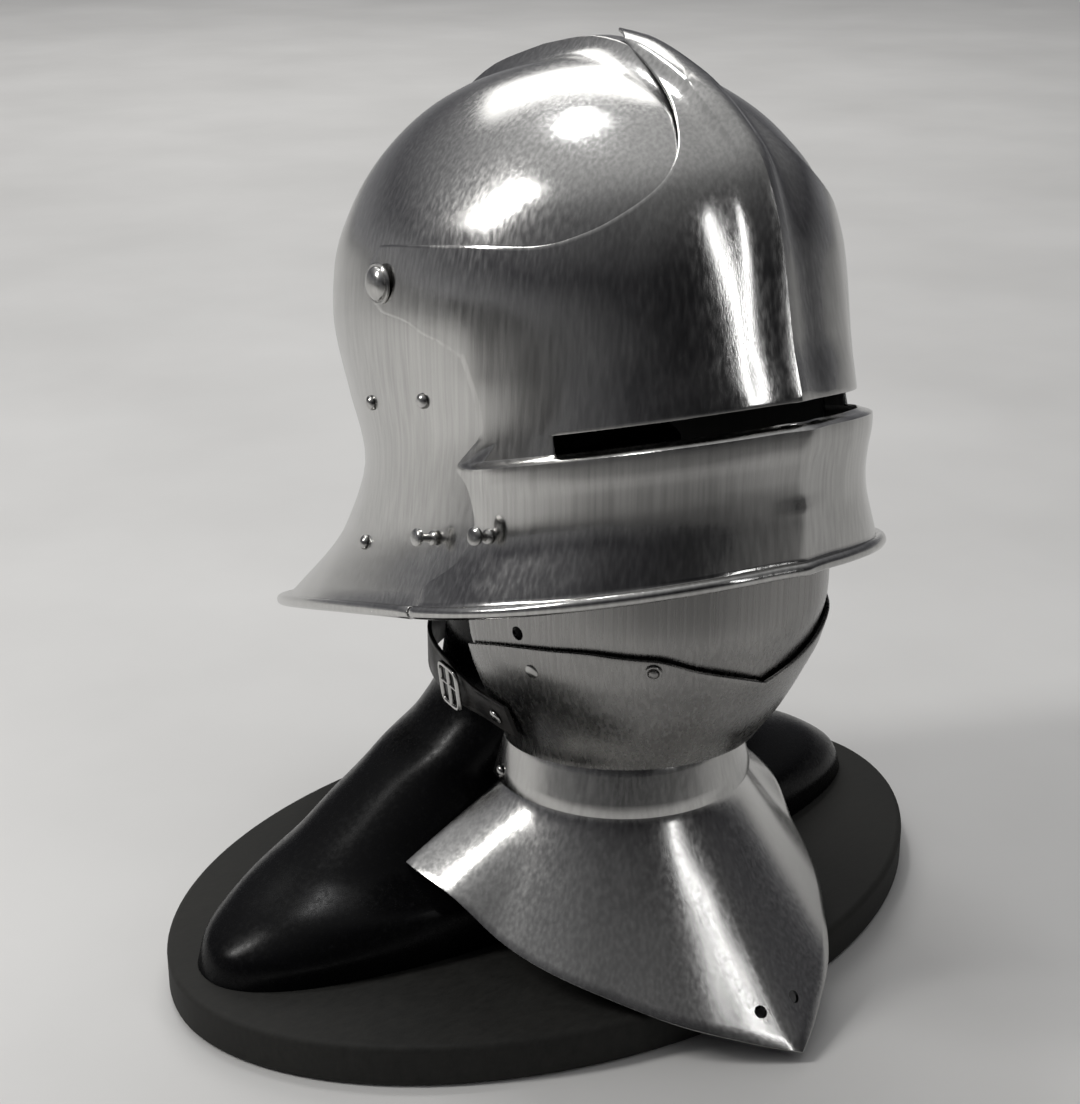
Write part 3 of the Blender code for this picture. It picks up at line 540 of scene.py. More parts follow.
def visor_step(angle, place):
    fade = min(1.0, max(0.0, (radians(77) - angle) / radians(9)))
    return LAP + PLATE + LEDGE * smooth(VISOR_STEP, place, 1) * fade * fade * (3 - 2 * fade)


def visor_point(angle, place):
    return bowl_point(angle, place) + bowl_normal(angle, place) * visor_step(angle, place)


def visor_strip(side, place):
    """The comb strip carried outwards by the lap and the ledge."""
    if abs(side) >= 1:
        turn = visor_angle(0.0, place)
        point = visor_point(turn, place)
        return Vector((point.x if side < 0 else -point.x, point.y, point.z))
    gap = 0.0015
    here = strip_point(side, True, place)
    across = strip_point(min(1.0, side + 0.03), True, place)
    across -= strip_point(max(-1.0, side - 0.03), True, place)
    down = strip_point(side, True, min(place + gap, 1.0)) - strip_point(side, True, place - gap)
    out = down.cross(across).normalized()
    out = -out if out.y > 0 and out.z < 0.5 else out
    turn = visor_angle(0.0, place)
    share = abs(side)
    reach = (visor_point(turn, place) - bowl_point(turn, place)).length
    grow = 1.0 + 0.25 * (1 - share)
    return here + out * (LAP + PLATE + (reach - LAP - PLATE)) * (grow if reach < 0.004 else 1.0)


def visor_top_strip(side):
    """Place where the visor's top edge crosses a line of the comb strip."""
    share = abs(side) * COMB_SPREAD
    low, high = 0.1, 0.6
    for _ in range(30):
        middle = (low + high) / 2
        turn = asin(min(1.0, share / bowl_half(middle)))
        if top_place(turn) > middle:
            low = middle
        else:
            high = middle
    return (low + high) / 2


def visor_top_column(share):
    """Place where the visor's top edge crosses a side column."""
    low, high = 0.15, 0.60
    for _ in range(30):
        middle = (low + high) / 2
        if top_place(visor_angle(share, middle)) > middle:
            low = middle
        else:
            high = middle
    return (low + high) / 2


VISOR_LOWER = (0.819, 0.828, 0.846, 0.870, 0.905, 0.945, 0.975, 1.0)
ARM_ROWS_SHARE = (0.668 - 0.506) / (SLOT_TOP - 0.506)


def visor_sheet(upper, arm_rows, columns, slot_columns, arm_columns, comb_lines, lower):
    """The visor: comb strip, side and arm blocks on both sides, with the sight slot left open."""
    sheet = Sheet()
    last = len(comb_lines) - 1
    rows = upper + 1 + len(lower)

    def share_of(row):
        if row <= arm_rows:
            return ARM_ROWS_SHARE * row / arm_rows
        return ARM_ROWS_SHARE + (1 - ARM_ROWS_SHARE) * (row - arm_rows) / (upper - arm_rows)

    def place_of(row, top):
        return top + (SLOT_TOP - top) * share_of(row) if row <= upper else lower[row - upper - 1]

    def key(side, row, column):
        if column == 0:
            return ("comb", row, 0 if side < 0 else last)
        return ("side", side, row, column)

    for row in range(rows):
        for k, line in enumerate(comb_lines):
            place = place_of(row, visor_top_strip(line))
            if k in (0, last):
                place = place_of(row, visor_top_column(0.0))
            sheet.add(("comb", row, k), visor_strip(line, place))
        for side in (-1, 1):
            for column in range(1, columns + 1):
                share = column / columns
                place = place_of(row, visor_top_column(share))
                point = visor_point(visor_angle(share, place), place)
                sheet.add(key(side, row, column), (point.x * -side, point.y, point.z))
    root = radians(VISOR_REAR[0][1])
    end = radians(90.5)
    for row in range(arm_rows + 1):
        across = row / arm_rows
        for column in range(1, arm_columns + 1):
            share = column / arm_columns
            angle = root + (end - root) * share
            top = top_place(angle)
            low = smooth(ARM_LOW, angle * 180 / pi, 1)
            place = top + (low - top) * across
            angle += radians(5.4) * sin(pi * across) * share**2
            point = visor_point(angle, place)
            for side in (-1, 1):
                sheet.add(key(side, row, columns + column), (point.x * -side, point.y, point.z))
    for row in range(rows - 1):
        for k in range(last):
            if row == upper:
                continue
            a, b = ("comb", row, k), ("comb", row, k + 1)
            c, d = ("comb", row + 1, k + 1), ("comb", row + 1, k)
            sheet.face(d, c, b, a)
        for side in (-1, 1):
            for column in range(columns + (arm_columns if row < arm_rows else 0)):
                if row == upper and column < slot_columns:
                    continue
                a, b = key(side, row, column), key(side, row, column + 1)
                c, d = key(side, row + 1, column + 1), key(side, row + 1, column)
                sheet.face(*((d, c, b, a) if side > 0 else (a, b, c, d)))
    for k in range(last + 1):
        sheet.rolled.add(sheet.index[("comb", rows - 1, k)])
    for side in (-1, 1):
        for column in range(1, columns + 1):
            sheet.rolled.add(sheet.index[key(side, rows - 1, column)])
    return sheet


def bevor_point(angle, level, inset=0.0):
    """Point of the bevor's form; the angle is 0 at the front and grows to the wearer's right."""
    half = BEVOR_HALF * smooth(BEVOR, level, 1) - inset
    reach = BEVOR_FRONT * smooth(BEVOR, level, 2) - inset
    return Vector((-half * sin(angle), BEVOR_BACK - reach * cos(angle), level))


def fan_sheet(columns, rows, point_of, angle_of, turn_limit):
    """A sheet from the right over the front to the left; point_of takes an angle and a share down."""
    sheet = Sheet()
    for row in range(rows + 1):
        for column in range(columns + 1):
            share = 2 * column / columns - 1
            angle = angle_of(share, row / rows) * turn_limit
            sheet.add((row, column), point_of(angle, row / rows))
    for row in range(rows):
        for column in range(columns):
            sheet.face((row, column), (row, column + 1), (row + 1, column + 1), (row + 1, column))
    return sheet


def even(share, down):
    return share


def widened(share, down):
    return share * (1 + 0.06 * down)


def narrowed(share, down):
    return share * (1 - 0.06 * down)


BEVOR_TURN = radians(102)
COLLAR_TURN = radians(112)


def lower_level(angle, down):
    top = smooth(SEAM, abs(angle) * 180 / pi, 1)
    low = BEVOR_LOW + 0.006 * cos(angle)
    return top + (low - top) * down


def lower_plate(angle, down):
    return bevor_point(angle, lower_level(angle, down))


def upper_inset(angle, level):
    """How far the upper plate stands inside the form; more in front, where it runs behind the lower one."""
    ahead = max(0.0, (cos(angle) - cos(radians(FALL_TURN))) / (1 - cos(radians(FALL_TURN))))
    share = min(1.0, max(0.0, (EASE_TOP - level) / EASE_DEEP))
    return PLATE + PLATE_GAP + EASE * ahead * share * share * (3 - 2 * share)


def upper_plate(angle, down):
    top = BEVOR_TOP - 0.018 * (1 - cos(angle))
    low = smooth(SEAM, abs(angle) * 180 / pi, 1) - 0.012
    level = top + (low - top) * down
    return bevor_point(angle, level, upper_inset(angle, level))


def collar_plate(angle, down):
    level = COLLAR_LOW + 0.026 * (1 - down)
    radius = COLLAR_HALF - COLLAR_TAPER * (1 - down)
    return Vector((-radius * sin(angle), NECK_BACK - radius * cos(angle), level))


def gorget_plate(angle, down):
    turn = abs(angle) * 180 / pi
    top = Vector((0, 0, COLLAR_LOW + 0.010))
    inner = COLLAR_HALF - PLATE - PLATE_GAP - 0.0030
    reach = GORGET_REACH * smooth(GORGET, turn, 1)
    low = GORGET_LOW + (COLLAR_LOW - GORGET_LOW) * smooth(GORGET, turn, 2)
    bend = 0.16
    share = 0.0 if down <= bend else (down - bend) / (1 - bend)
    fall = share**1.18
    radius = inner + 0.0012 * min(1.0, down / bend) + (reach - inner) * fall
    level = top.z - 0.012 * min(1.0, down / bend) + (low - COLLAR_LOW + 0.002) * share
    ridge = 0.004 * share * max(0.0, 1 - turn / 14) ** 1.6
    return Vector((-(radius + ridge) * sin(angle), NECK_BACK - (radius + ridge) * cos(angle), level))


def bevor_out(angle, level):
    """Outward direction of the bevor's form."""
    along = bevor_point(angle + 0.01, level) - bevor_point(angle - 0.01, level)
    rise = bevor_point(angle, level + 0.002) - bevor_point(angle, level - 0.002)
    return rise.cross(along).normalized()


def strap_lean(share):
    """Outward lean of the strap per unit of height, as it lies on the sloping plate."""
    return STRAP_LEAN * min(1.0, max(0.0, (abs(share) - 0.75) * 6))


def strap_out(share):
    """Level outward direction of the strap."""
    ahead = strap_path(min(1.0, share + 0.01)) - strap_path(max(-1.0, share - 0.01))
    return Vector((-ahead.y, ahead.x, 0)).normalized()


def strap_path(share):
    """Middle of the inner face of the strap, from the right end (-1) round the back to the left end (1)."""
    turn = abs(share) * pi / 2
    x = STRAP_HALF * sin(turn) ** (2 / 2.6)
    y = STRAP_FRONT + (STRAP_BACK * cos(turn) ** (2 / 2.6) if abs(share) < 1 else 0.0)
    return Vector((x if share > 0 else -x, y, TAB_LEVEL + 0.002 * cos(turn)))


def make_camera():
    """The camera in front of the wearer's right side, a little above the helmet."""
    view = bpy.data.cameras.new("view")
    view.sensor_width = SENSOR * 1000
    view.lens = FOCUS_PIXELS / IMAGE_HEIGHT * SENSOR * 1000
    holder = bpy.data.objects.new("view", view)
    bpy.context.collection.objects.link(holder)
    holder.location = (sin(VIEW_TURN) * VIEW_REACH, -cos(VIEW_TURN) * VIEW_REACH, VIEW_HEIGHT)
    holder.rotation_euler = (LOOK_AT - holder.location).to_track_quat("-Z", "Y").to_euler()
    bpy.context.scene.camera = holder


def soft_light(name, place, size, power, colour=(1.0, 1.0, 1.0), target=(0.0, 0.0, 0.30), tall=None):
    """A soft panel of light that faces the helmet."""
    lamp = bpy.data.lights.new(name, "AREA")
    lamp.shape = "RECTANGLE"
    lamp.size = size
    lamp.size_y = tall or size
    lamp.energy = power
    lamp.color = colour
    holder = bpy.data.objects.new(name, lamp)
    bpy.context.collection.objects.link(holder)
    holder.location = place
    holder.rotation_euler = (Vector(target) - Vector(place)).to_track_quat("-Z", "Y").to_euler()


def make_floor():
    """A pale paper floor with painted shade: its colour gets darker on the viewer's side, outside the
    frame, for the dim room there.
    """
    mesh = bpy.data.meshes.new("floor")
    corners = [(-1, -1), (1, -1), (1, 1), (-1, 1)]
    mesh.from_pydata([(x * FLOOR_REACH, y * FLOOR_REACH, 0) for x, y in corners], [], [(0, 1, 2, 3)])
    floor = bpy.data.objects.new("floor", mesh)
    bpy.context.collection.objects.link(floor)
    look, shader, nodes = new_material("floor_paper_painted_shade")
    shader.inputs["Roughness"].default_value = 0.85
    shader.inputs["Specular IOR Level"].default_value = 0.15
    grain = pattern(nodes, "Noise", Scale=3.0, Detail=6.0)
    tone = ramp(nodes, grain, ((0.3, (0.66, 0.655, 0.645)), (0.7, (0.74, 0.735, 0.725))))
    toward = nodes.new("ShaderNodeVectorMath")
    toward.operation = "DOT_PRODUCT"
    toward.inputs[1].default_value = (sin(VIEW_TURN), -cos(VIEW_TURN), 0.0)
    tie(coordinates(nodes), "Vector", toward, 0)
    # Painted shade: the paper's colour falls towards the viewer, down to the set share.
    fade = ranged(nodes, toward, "Value", PAINTED_SHADE_START, PAINTED_SHADE_START + PAINTED_SHADE_FADE, 1.0, PAINTED_SHADE_LEVEL)
    tie(scaled(nodes, tone, fade), "Vector", shader, "Base Color")
    mesh.materials.append(look)


def make_room():
    """Surroundings that are bright overhead and darker on the viewer's side."""
    world = bpy.data.worlds.new("room")
    bpy.context.scene.world = world
    world.use_nodes = True
    nodes = world.node_tree.nodes
    shade = nodes["Background"]
    shade.inputs["Strength"].default_value = ROOM_STRENGTH
    place = nodes.new("ShaderNodeTexCoord")
    parts = nodes.new("ShaderNodeSeparateXYZ")
    tie(place, "Generated", parts, "Vector")
    half = ranged(nodes, parts, "Z", -1.0, 1.0, 0.0, 1.0)
    overhead = ramp(nodes, half, (
        (0.0, (0.20, 0.20, 0.20)), (0.49, (0.30, 0.30, 0.31)), (0.60, (0.10, 0.10, 0.11)),
        (0.78, (0.30, 0.30, 0.31)), (1.0, (0.95, 0.95, 0.95)),
    ))
    behind = ranged(nodes, parts, "Y", -0.9, 0.6, 0.22, 1.35)
    tie(scaled(nodes, overhead, behind), "Vector", shade, "Color")


def make_studio():
    """The floor, the panel lights and the room."""
    make_floor()
    soft_light("left_panel", (-1.35, 0.55, 1.40), 0.22, 15, (1.0, 0.99, 0.97), tall=0.80)
    soft_light("top_panel", (-0.06, 0.50, 1.80), 0.34, 4.5, tall=0.14)
    soft_light("front_strip", (0.22, -1.60, 0.95), 0.06, 1.7, target=(0.0, -0.05, 0.25), tall=1.0)
    soft_light("far_panel", (1.3, 2.6, 2.6), 2.4, 42, (1.0, 0.99, 0.97), (1.2, 2.5, 0.0))
    make_room()
    bpy.context.scene.view_settings.view_transform = "Standard"


def add(nodes, kind, **values):
    """A shader node with its input values set by name."""
    made = nodes.new(kind)
    for name, value in values.items():
        made.inputs[name.replace("_", " ")].default_value = value
    return made


def tie(source, output, target, socket):
    """A link between two nodes of one tree."""
    source.id_data.links.new(source.outputs[output], target.inputs[socket])


def maths(nodes, operation, *values):
    """A maths node; None leaves an input to a link."""
    made = nodes.new("ShaderNodeMath")
    made.operation = operation
    for socket, value in zip(made.inputs, values):
        if value is not None:
            socket.default_value = value
    return made


def ramp(nodes, source, stops):
    """A colour ramp with the given places and colours, driven by the first output of a node."""
    made = nodes.new("ShaderNodeValToRGB")
    while len(made.color_ramp.elements) < len(stops):
        made.color_ramp.elements.new(0.5)
    for stop, (place, colour) in zip(made.color_ramp.elements, stops):
        stop.position = place
        stop.color = (*colour, 1.0)
    tie(source, 0, made, "Fac")
    return made


def scaled(nodes, colour, value):
    """The colour of one node times the result of another."""
    made = nodes.new("ShaderNodeVectorMath")
    made.operation = "SCALE"
    tie(colour, "Color", made, "Vector")
    tie(value, "Result", made, "Scale")
    return made


def coordinates(nodes, stretch=(1, 1, 1), turn=(0.0, 0.0, 0.0)):
    """Object coordinates stretched and turned for a pattern."""
    place = nodes.new("ShaderNodeTexCoord")
    mapping = nodes.new("ShaderNodeMapping")
    mapping.inputs["Scale"].default_value = stretch
    mapping.inputs["Rotation"].default_value = turn
    tie(place, "Object", mapping, "Vector")
    return mapping


def pattern(nodes, kind, stretch=(1, 1, 1), turn=(0.0, 0.0, 0.0), **values):
    """A noise or cell pattern on object coordinates."""
    made = add(nodes, "ShaderNodeTex" + kind, **values)
    tie(coordinates(nodes, stretch, turn), "Vector", made, "Vector")
    return made


def ranged(nodes, source, output, low, high, least, most):
    """A value of a node taken from one range to another."""
    made = add(nodes, "ShaderNodeMapRange", From_Min=low, From_Max=high, To_Min=least, To_Max=most)
    tie(source, output, made, "Value")
    return made


def blended(nodes, first, output, share, second, rest):
    """A value of one node times a share, and a value of another times the rest."""
    part = maths(nodes, "MULTIPLY", None, rest)
    tie(second, output, part, 0)
    made = maths(nodes, "MULTIPLY_ADD", None, share)
    tie(first, output, made, 0)
    tie(part, "Value", made, 2)
    return made


def bumped(nodes, source, output, strength, distance):
    """A bump from a value of a node."""
    made = add(nodes, "ShaderNodeBump", Strength=strength, Distance=distance)
    tie(source, output, made, "Height")
    return made


def new_material(name):
    made = bpy.data.materials.new(name)
    made.use_nodes = True
    nodes = made.node_tree.nodes
    return made, nodes["Principled BSDF"], nodes


def painted(shader, tone, rough, bump):
    """Ties a tone, a roughness and a bump to the surface."""
    tie(tone, "Color", shader, "Base Color")
    tie(rough, "Result", shader, "Roughness")
    tie(bump, "Normal", shader, "Normal")


def colour_mix(nodes, rule):
    made = nodes.new("ShaderNodeMix")
    made.data_type = "RGBA"
    made.blend_type = rule
    return made


STEEL_INPUTS = (
    ("Light", "Color"), ("Dark", "Color"), ("Smooth Low", "Float"), ("Smooth High", "Float"),
    ("Waves", "Float"), ("Brush", "Float"), ("Turn", "Vector"),
)
STEEL_OUTPUTS = (
    ("Base Color", "Color"), ("Metallic", "Float"), ("Roughness", "Float"), ("Normal", "Vector"),
)
# Colour of the inner faces: painted shade, near black, so the sight slot and the inside read dark.
INNER_SHADE_BLACK = 0.012
SCRATCH_SHARE = 0.25


def steel_group():
    """Hand polished steel: brushing, hammer waves, smudges and scratches, with painted shade on the inner
    faces, which are coloured near black.
    """
    tree = bpy.data.node_groups.new("brushed_steel", "ShaderNodeTree")
    for label, kind in STEEL_INPUTS:
        tree.interface.new_socket(label, in_out="INPUT", socket_type="NodeSocket" + kind)
    for label, kind in STEEL_OUTPUTS:
        tree.interface.new_socket(label, in_out="OUTPUT", socket_type="NodeSocket" + kind)
    nodes = tree.nodes
    start = nodes.new("NodeGroupInput")
    end = nodes.new("NodeGroupOutput")

    def upright(stretch, **values):
        made = add(nodes, "ShaderNodeTexNoise", Scale=1.0, **values)
        place = coordinates(nodes, stretch)
        tie(start, "Turn", place, "Rotation")
        tie(place, "Vector", made, "Vector")
        return made

    streaks = upright((1700, 1700, 9), Detail=2.0, Roughness=0.5)
    bands = upright((520, 520, 5), Detail=3.0, Roughness=0.5)
    hammer = upright((24, 24, 8), Detail=1.0, Roughness=0.4)
    smudge = pattern(nodes, "Noise", (1, 1, 0.6), Scale=13.0, Detail=2.0, Roughness=0.45)
    scratch = pattern(nodes, "Noise", (60, 900, 60), (0.5, 0.9, 0.3), Scale=1.0, Detail=2.0, Roughness=0.8)
    tone = colour_mix(nodes, "MIX")
    tie(ranged(nodes, smudge, "Fac", 0.25, 0.75, 0.0, 1.0), "Result", tone, "Factor")
    tie(start, "Dark", tone, "A")
    tie(start, "Light", tone, "B")
    fine = ramp(nodes, bands, ((0.35, (0.82, 0.82, 0.82)), (0.65, (1.0, 1.0, 1.0))))
    both = colour_mix(nodes, "MULTIPLY")
    both.inputs["Factor"].default_value = 1.0
    tie(tone, "Result", both, "A")
    tie(fine, "Color", both, "B")
    # Painted shade: the inner faces, marked by the inside attribute, are coloured near black.
    mark = nodes.new("ShaderNodeAttribute")
    mark.attribute_name = "inside"
    inner_shade = colour_mix(nodes, "MIX")
    inner_shade.inputs["B"].default_value = (INNER_SHADE_BLACK, INNER_SHADE_BLACK, INNER_SHADE_BLACK, 1.0)
    tie(mark, "Fac", inner_shade, "Factor")
    tie(both, "Result", inner_shade, "A")
    tie(inner_shade, "Result", end, "Base Color")
    bare = maths(nodes, "SUBTRACT", 1.0)
    tie(mark, "Fac", bare, 1)
    tie(bare, "Value", end, "Metallic")
    rough = ranged(nodes, blended(nodes, bands, "Fac", 0.72, smudge, 0.28), "Value", 0.3, 0.7, 0.0, 1.0)
    tie(start, "Smooth Low", rough, "To Min")
    tie(start, "Smooth High", rough, "To Max")
    dull = maths(nodes, "MULTIPLY_ADD", None, 0.5)
    dull.use_clamp = True
    tie(mark, "Fac", dull, 0)
    tie(rough, "Result", dull, 2)
    tie(dull, "Value", end, "Roughness")
    first = bumped(nodes, hammer, "Fac", 0.0, 0.006)
    tie(start, "Waves", first, "Strength")
    second = bumped(nodes, streaks, "Fac", 0.0, 0.00025)
    tie(start, "Brush", second, "Strength")
    tie(first, "Normal", second, "Normal")
    faint = maths(nodes, "MULTIPLY", None, SCRATCH_SHARE)
    tie(start, "Brush", faint, 0)
    third = bumped(nodes, scratch, "Fac", 0.0, 0.0001)
    tie(faint, "Value", third, "Strength")
    tie(second, "Normal", third, "Normal")
    tie(third, "Normal", end, "Normal")
    return tree


def steel_material(name, group, light, dark, *values):
    """A steel look with its own values for the inputs of the group, in their order."""
    made, shader, nodes = new_material(name)
    steel = nodes.new("ShaderNodeGroup")
    steel.node_tree = group
    for (label, _), value in zip(STEEL_INPUTS, ((*light, 1.0), (*dark, 1.0), *values)):
        steel.inputs[label].default_value = value
    for label, _ in STEEL_OUTPUTS:
        tie(steel, label, shader, label)
    return made


def leather_material():
    """Black dyed strap leather with a fine grain and rubbed patches."""
    made, shader, nodes = new_material("strap_leather")
    shader.inputs["Specular IOR Level"].default_value = 0.45
    grain = pattern(nodes, "Voronoi", Scale=1100.0)
    rub = pattern(nodes, "Noise", Scale=90.0, Detail=5.0)
    tone = ramp(nodes, rub, ((0.35, (0.006, 0.0055, 0.0055)), (0.72, (0.022, 0.020, 0.018))))
    rough = ranged(nodes, rub, "Fac", 0.3, 0.7, 0.38, 0.60)
    painted(shader, tone, rough, bumped(nodes, grain, "Distance", 0.35, 0.0003))
    return made


def gloss_material():
    """Glossy black moulded shell with faint ripples and dust."""
    made, shader, nodes = new_material("bust_gloss")
    shader.inputs["Specular IOR Level"].default_value = 0.11
    ripple = pattern(nodes, "Noise", Scale=26.0, Detail=1.0)
    dust = pattern(nodes, "Noise", Scale=320.0, Detail=6.0, Roughness=0.7)
    tone = ramp(nodes, dust, ((0.60, (0.0030, 0.0030, 0.0034)), (0.85, (0.012, 0.012, 0.013))))
    rough = ranged(nodes, dust, "Fac", 0.4, 0.75, 0.20, 0.40)
    painted(shader, tone, rough, bumped(nodes, ripple, "Fac", 0.10, 0.003))
    return made


def board_material(name, light, dark, grain_size):
    """Matt black paint on board, with brushed fibres and worn spots."""
    made, shader, nodes = new_material(name)
    shader.inputs["Specular IOR Level"].default_value = 0.25
    fibre = pattern(nodes, "Noise", (1, 2.2, 1), Scale=grain_size, Detail=8.0, Roughness=0.7)
    cloud = pattern(nodes, "Noise", Scale=9.0, Detail=4.0)
    worn = blended(nodes, fibre, "Fac", 0.5, cloud, 0.5)
    tone = ramp(nodes, worn, ((0.35, dark), (0.65, light)))
    rough = ranged(nodes, worn, "Value", 0.3, 0.7, 0.62, 0.85)
    painted(shader, tone, rough, bumped(nodes, fibre, "Fac", 0.30, 0.0006))
    return made


def eased(piece):
    """The piece's mesh with its cut edges rounded a little."""
    bevel = piece.modifiers.new("edge", "BEVEL")
    bevel.width = EDGE_ROUND
    bevel.segments = 2
    bevel.limit_method = "ANGLE"
    bevel.angle_limit = radians(EDGE_TURN)
    bevel.use_clamp_overlap = False
    bpy.context.view_layer.update()
    seen = piece.evaluated_get(bpy.context.evaluated_depsgraph_get())
    rounded = bpy.data.meshes.new_from_object(seen)
    piece.modifiers.clear()
    return rounded


def finished(name, verts, faces, look, body, slot, nodes, turned_by=None, sharp=PLATE_SHARP, plate_of=None):
    """A named piece from points and faces, placed, shaded and set on its body for its plain nodes."""
    mesh = bpy.data.meshes.new(name)
    mesh.from_pydata([tuple(v) for v in verts], [], faces)
    mesh.update()
    if turned_by is not None:
        mesh.transform(turned_by)
    mesh.materials.append(look)
    made = bpy.data.objects.new(name, mesh)
    bpy.context.collection.objects.link(made)
    if plate_of is not None:
        # The inner faces are marked for the steel's painted shade, which colours them near black.
        mark = mesh.attributes.new("inside", "FLOAT", "FACE")
        for k in range(len(plate_of.faces), 2 * len(plate_of.faces)):
            mark.data[k].value = 1.0
        made.data = eased(made)
    made.data.shade_smooth()
    made.data.set_sharp_from_angle(angle=radians(sharp))
    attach(made, body)
    if nodes:
        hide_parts(*nodes)
    return made


# Finer steps of the smooth surfaces, as multiples of the plain plates' own columns and rows.
FINE = 4
SKULL_RINGS = 13
SKULL_COLUMNS = 18
FACE_COLUMN = 6
REAR_COLUMN = 9
FINE_LINES = (
    -1.0, -0.92, -0.84, -0.76, -0.68, -0.60, -0.54, -0.47, -0.41, -0.36, -0.32, -0.30, -0.28, -0.14,
    0.0, 0.14, 0.28, 0.30, 0.32, 0.36, 0.41, 0.47, 0.54, 0.60, 0.68, 0.76, 0.84, 0.92, 1.0,
)
ROUND_SIDES = 40
SMALL_SIDES = 32
RIM_STEPS = 14
VISOR_UPPER_ROWS = 11
VISOR_ARM_ROWS = 6
VISOR_COLUMNS = 11
SLOT_COLUMNS = 8
ARM_COLUMNS = 3
FAN_COLUMNS = 20
FAN_ROWS = 5
BORE_HALF = 0.02
BUST_STEPS = 90
BUST_SIDES = 120
BOARD_EDGE_STEPS = 8
WIRE_STEPS = 64
WIRE_SIDES = 12

# Small rivets as they look: head radius, rise of the dome and grip.
RIVET_LOOKS = {
    "lining_rivets": (LINING_RADIUS, 0.0026, 0.0040),
    "bevor_rivets": (BEVOR_RIVET, 0.0011, 0.0070),
    "collar_rivets": (COLLAR_RIVET, 0.0022, 0.0080),
    "strap_rivets": (STRAP_RIVET, 0.0018, 0.0070),
}

# The strap's cross-section: share of the half width, and of the thickness.
STRAP_SECTION = (
    (-1, 0.12), (-0.96, 0), (0.96, 0), (1, 0.12), (1, 0.80), (0.94, 1.0), (0.80, 0.98), (0.74, 0.93),
    (0.68, 1.0), (-0.68, 1.0), (-0.74, 0.93), (-0.80, 0.98), (-0.94, 1.0), (-1, 0.80),
)
helmet_turn = Euler((PITCH, LEAN, 0.0), "YXZ").to_matrix().to_4x4()
helmet_place = Matrix.Translation((0.0, BOWL_BACK, BOWL_HEIGHT)) @ helmet_turn


def fine_rows(rows, steps):
    """The rows of the plain plate with more between them."""
    made = []
    for low, high in zip(rows, rows[1:]):
        made += [low + (high - low) * k / steps for k in range(steps)]
    return tuple(made) + (rows[-1],)


def mirrored(point, side):
    return Vector((point.x * (1 if side == "right" else -1), point.y, point.z))


def cut_holes(piece, holes):
    """Bores round holes through a plate: centre, direction and radius of each."""
    for place, direction, radius in holes:
        rod = ((-BORE_HALF, 0), (-BORE_HALF, radius), (BORE_HALF, radius), (BORE_HALF, 0))
        verts, faces = turned(rod, ROUND_SIDES, place, direction)
        mesh = bpy.data.meshes.new("hole")
        mesh.from_pydata([tuple(v) for v in verts], [], faces)
        cutter = bpy.data.objects.new("hole", mesh)
        bpy.context.collection.objects.link(cutter)
        cut = piece.modifiers.new("hole", "BOOLEAN")
        cut.operation = "DIFFERENCE"
        cut.solver = "EXACT"
        cut.object = cutter
        bpy.context.view_layer.update()
        seen = piece.evaluated_get(bpy.context.evaluated_depsgraph_get())
        bored = bpy.data.meshes.new_from_object(seen)
        piece.modifiers.clear()
        piece.data = bored
        bored.shade_smooth()
        bored.set_sharp_from_angle(angle=radians(PLATE_SHARP))
        bpy.data.objects.remove(cutter)
    return piece


def make_skull(look):
    rings = bowl_rings(SKULL_RINGS * FINE)
    columns = SKULL_COLUMNS * FINE
    brow = FINE * next(k for k, place in enumerate(bowl_rings(SKULL_RINGS)) if place >= BROW)
    sheet, side_key = skull_sheet(rings, columns, FINE_LINES, brow, FACE_COLUMN * FINE)
    rim = len(rings) - 1
    for side in (-1, 1):
        for column in range(REAR_COLUMN * FINE, columns + 1):
            sheet.rolled.add(sheet.index[side_key(side, rim, column)])
    for k in range(len(FINE_LINES)):
        sheet.rolled.add(sheet.index[("comb", "back", rim, k)])
    verts, faces = sheet.solid(PLATE, RIM_STEPS)
    finished("skull_shell", verts, faces, look, "stand", "steel", ("skull",), helmet_place, plate_of=sheet)


def make_visor(look):
    counts = (VISOR_UPPER_ROWS, VISOR_ARM_ROWS, VISOR_COLUMNS, SLOT_COLUMNS, ARM_COLUMNS)
    sheet = visor_sheet(*(count * FINE for count in counts), FINE_LINES, fine_rows(VISOR_LOWER, FINE))
    verts, faces = sheet.solid(PLATE, RIM_STEPS)
    finished("visor_shell", verts, faces, look, "visor", "steel", ("visor",), helmet_place, plate_of=sheet)


def make_hinge_rivets(look):
    """The visor's hinge rivets: a flat seat, a raised rim and a dome inside it."""
    hinge_out = bowl_half(HINGE_PLACE) + LAP + PLATE
    back, wide = -LAP - 2 * PLATE - 0.0010, PIVOT_RADIUS
    profile = [
        (back - 0.0010, 0), (back - 0.0010, wide * 0.7), (back - 0.0006, wide * 0.8), (back, wide * 0.8),
        (back, SHANK_RADIUS), (0.0010, SHANK_RADIUS), (0.0010, wide * 0.90), (0.0010, wide),
        (0.0019, wide * 1.005), (0.0024, wide * 0.95), (0.0023, wide * 0.86),
    ]
    profile += [(0.0023 + 0.0036 * sin(k * pi / 26), wide * 0.84 * cos(k * pi / 26)) for k in range(13)]
    profile.append((0.0059, 0))
    for side in SIDES:
        place = mirrored(Vector((-hinge_out, HINGE_BACK, HINGE_RISE)), side)
        verts, faces = turned(profile, ROUND_SIDES, place, mirrored(Vector((-1, 0, 0)), side))
        name, nodes = "hinge_rivet_" + side, ("visor_rivet_" + side,)
        finished(name, verts, faces, look, "stand", "steel", nodes, helmet_place, SMALL_SHARP)


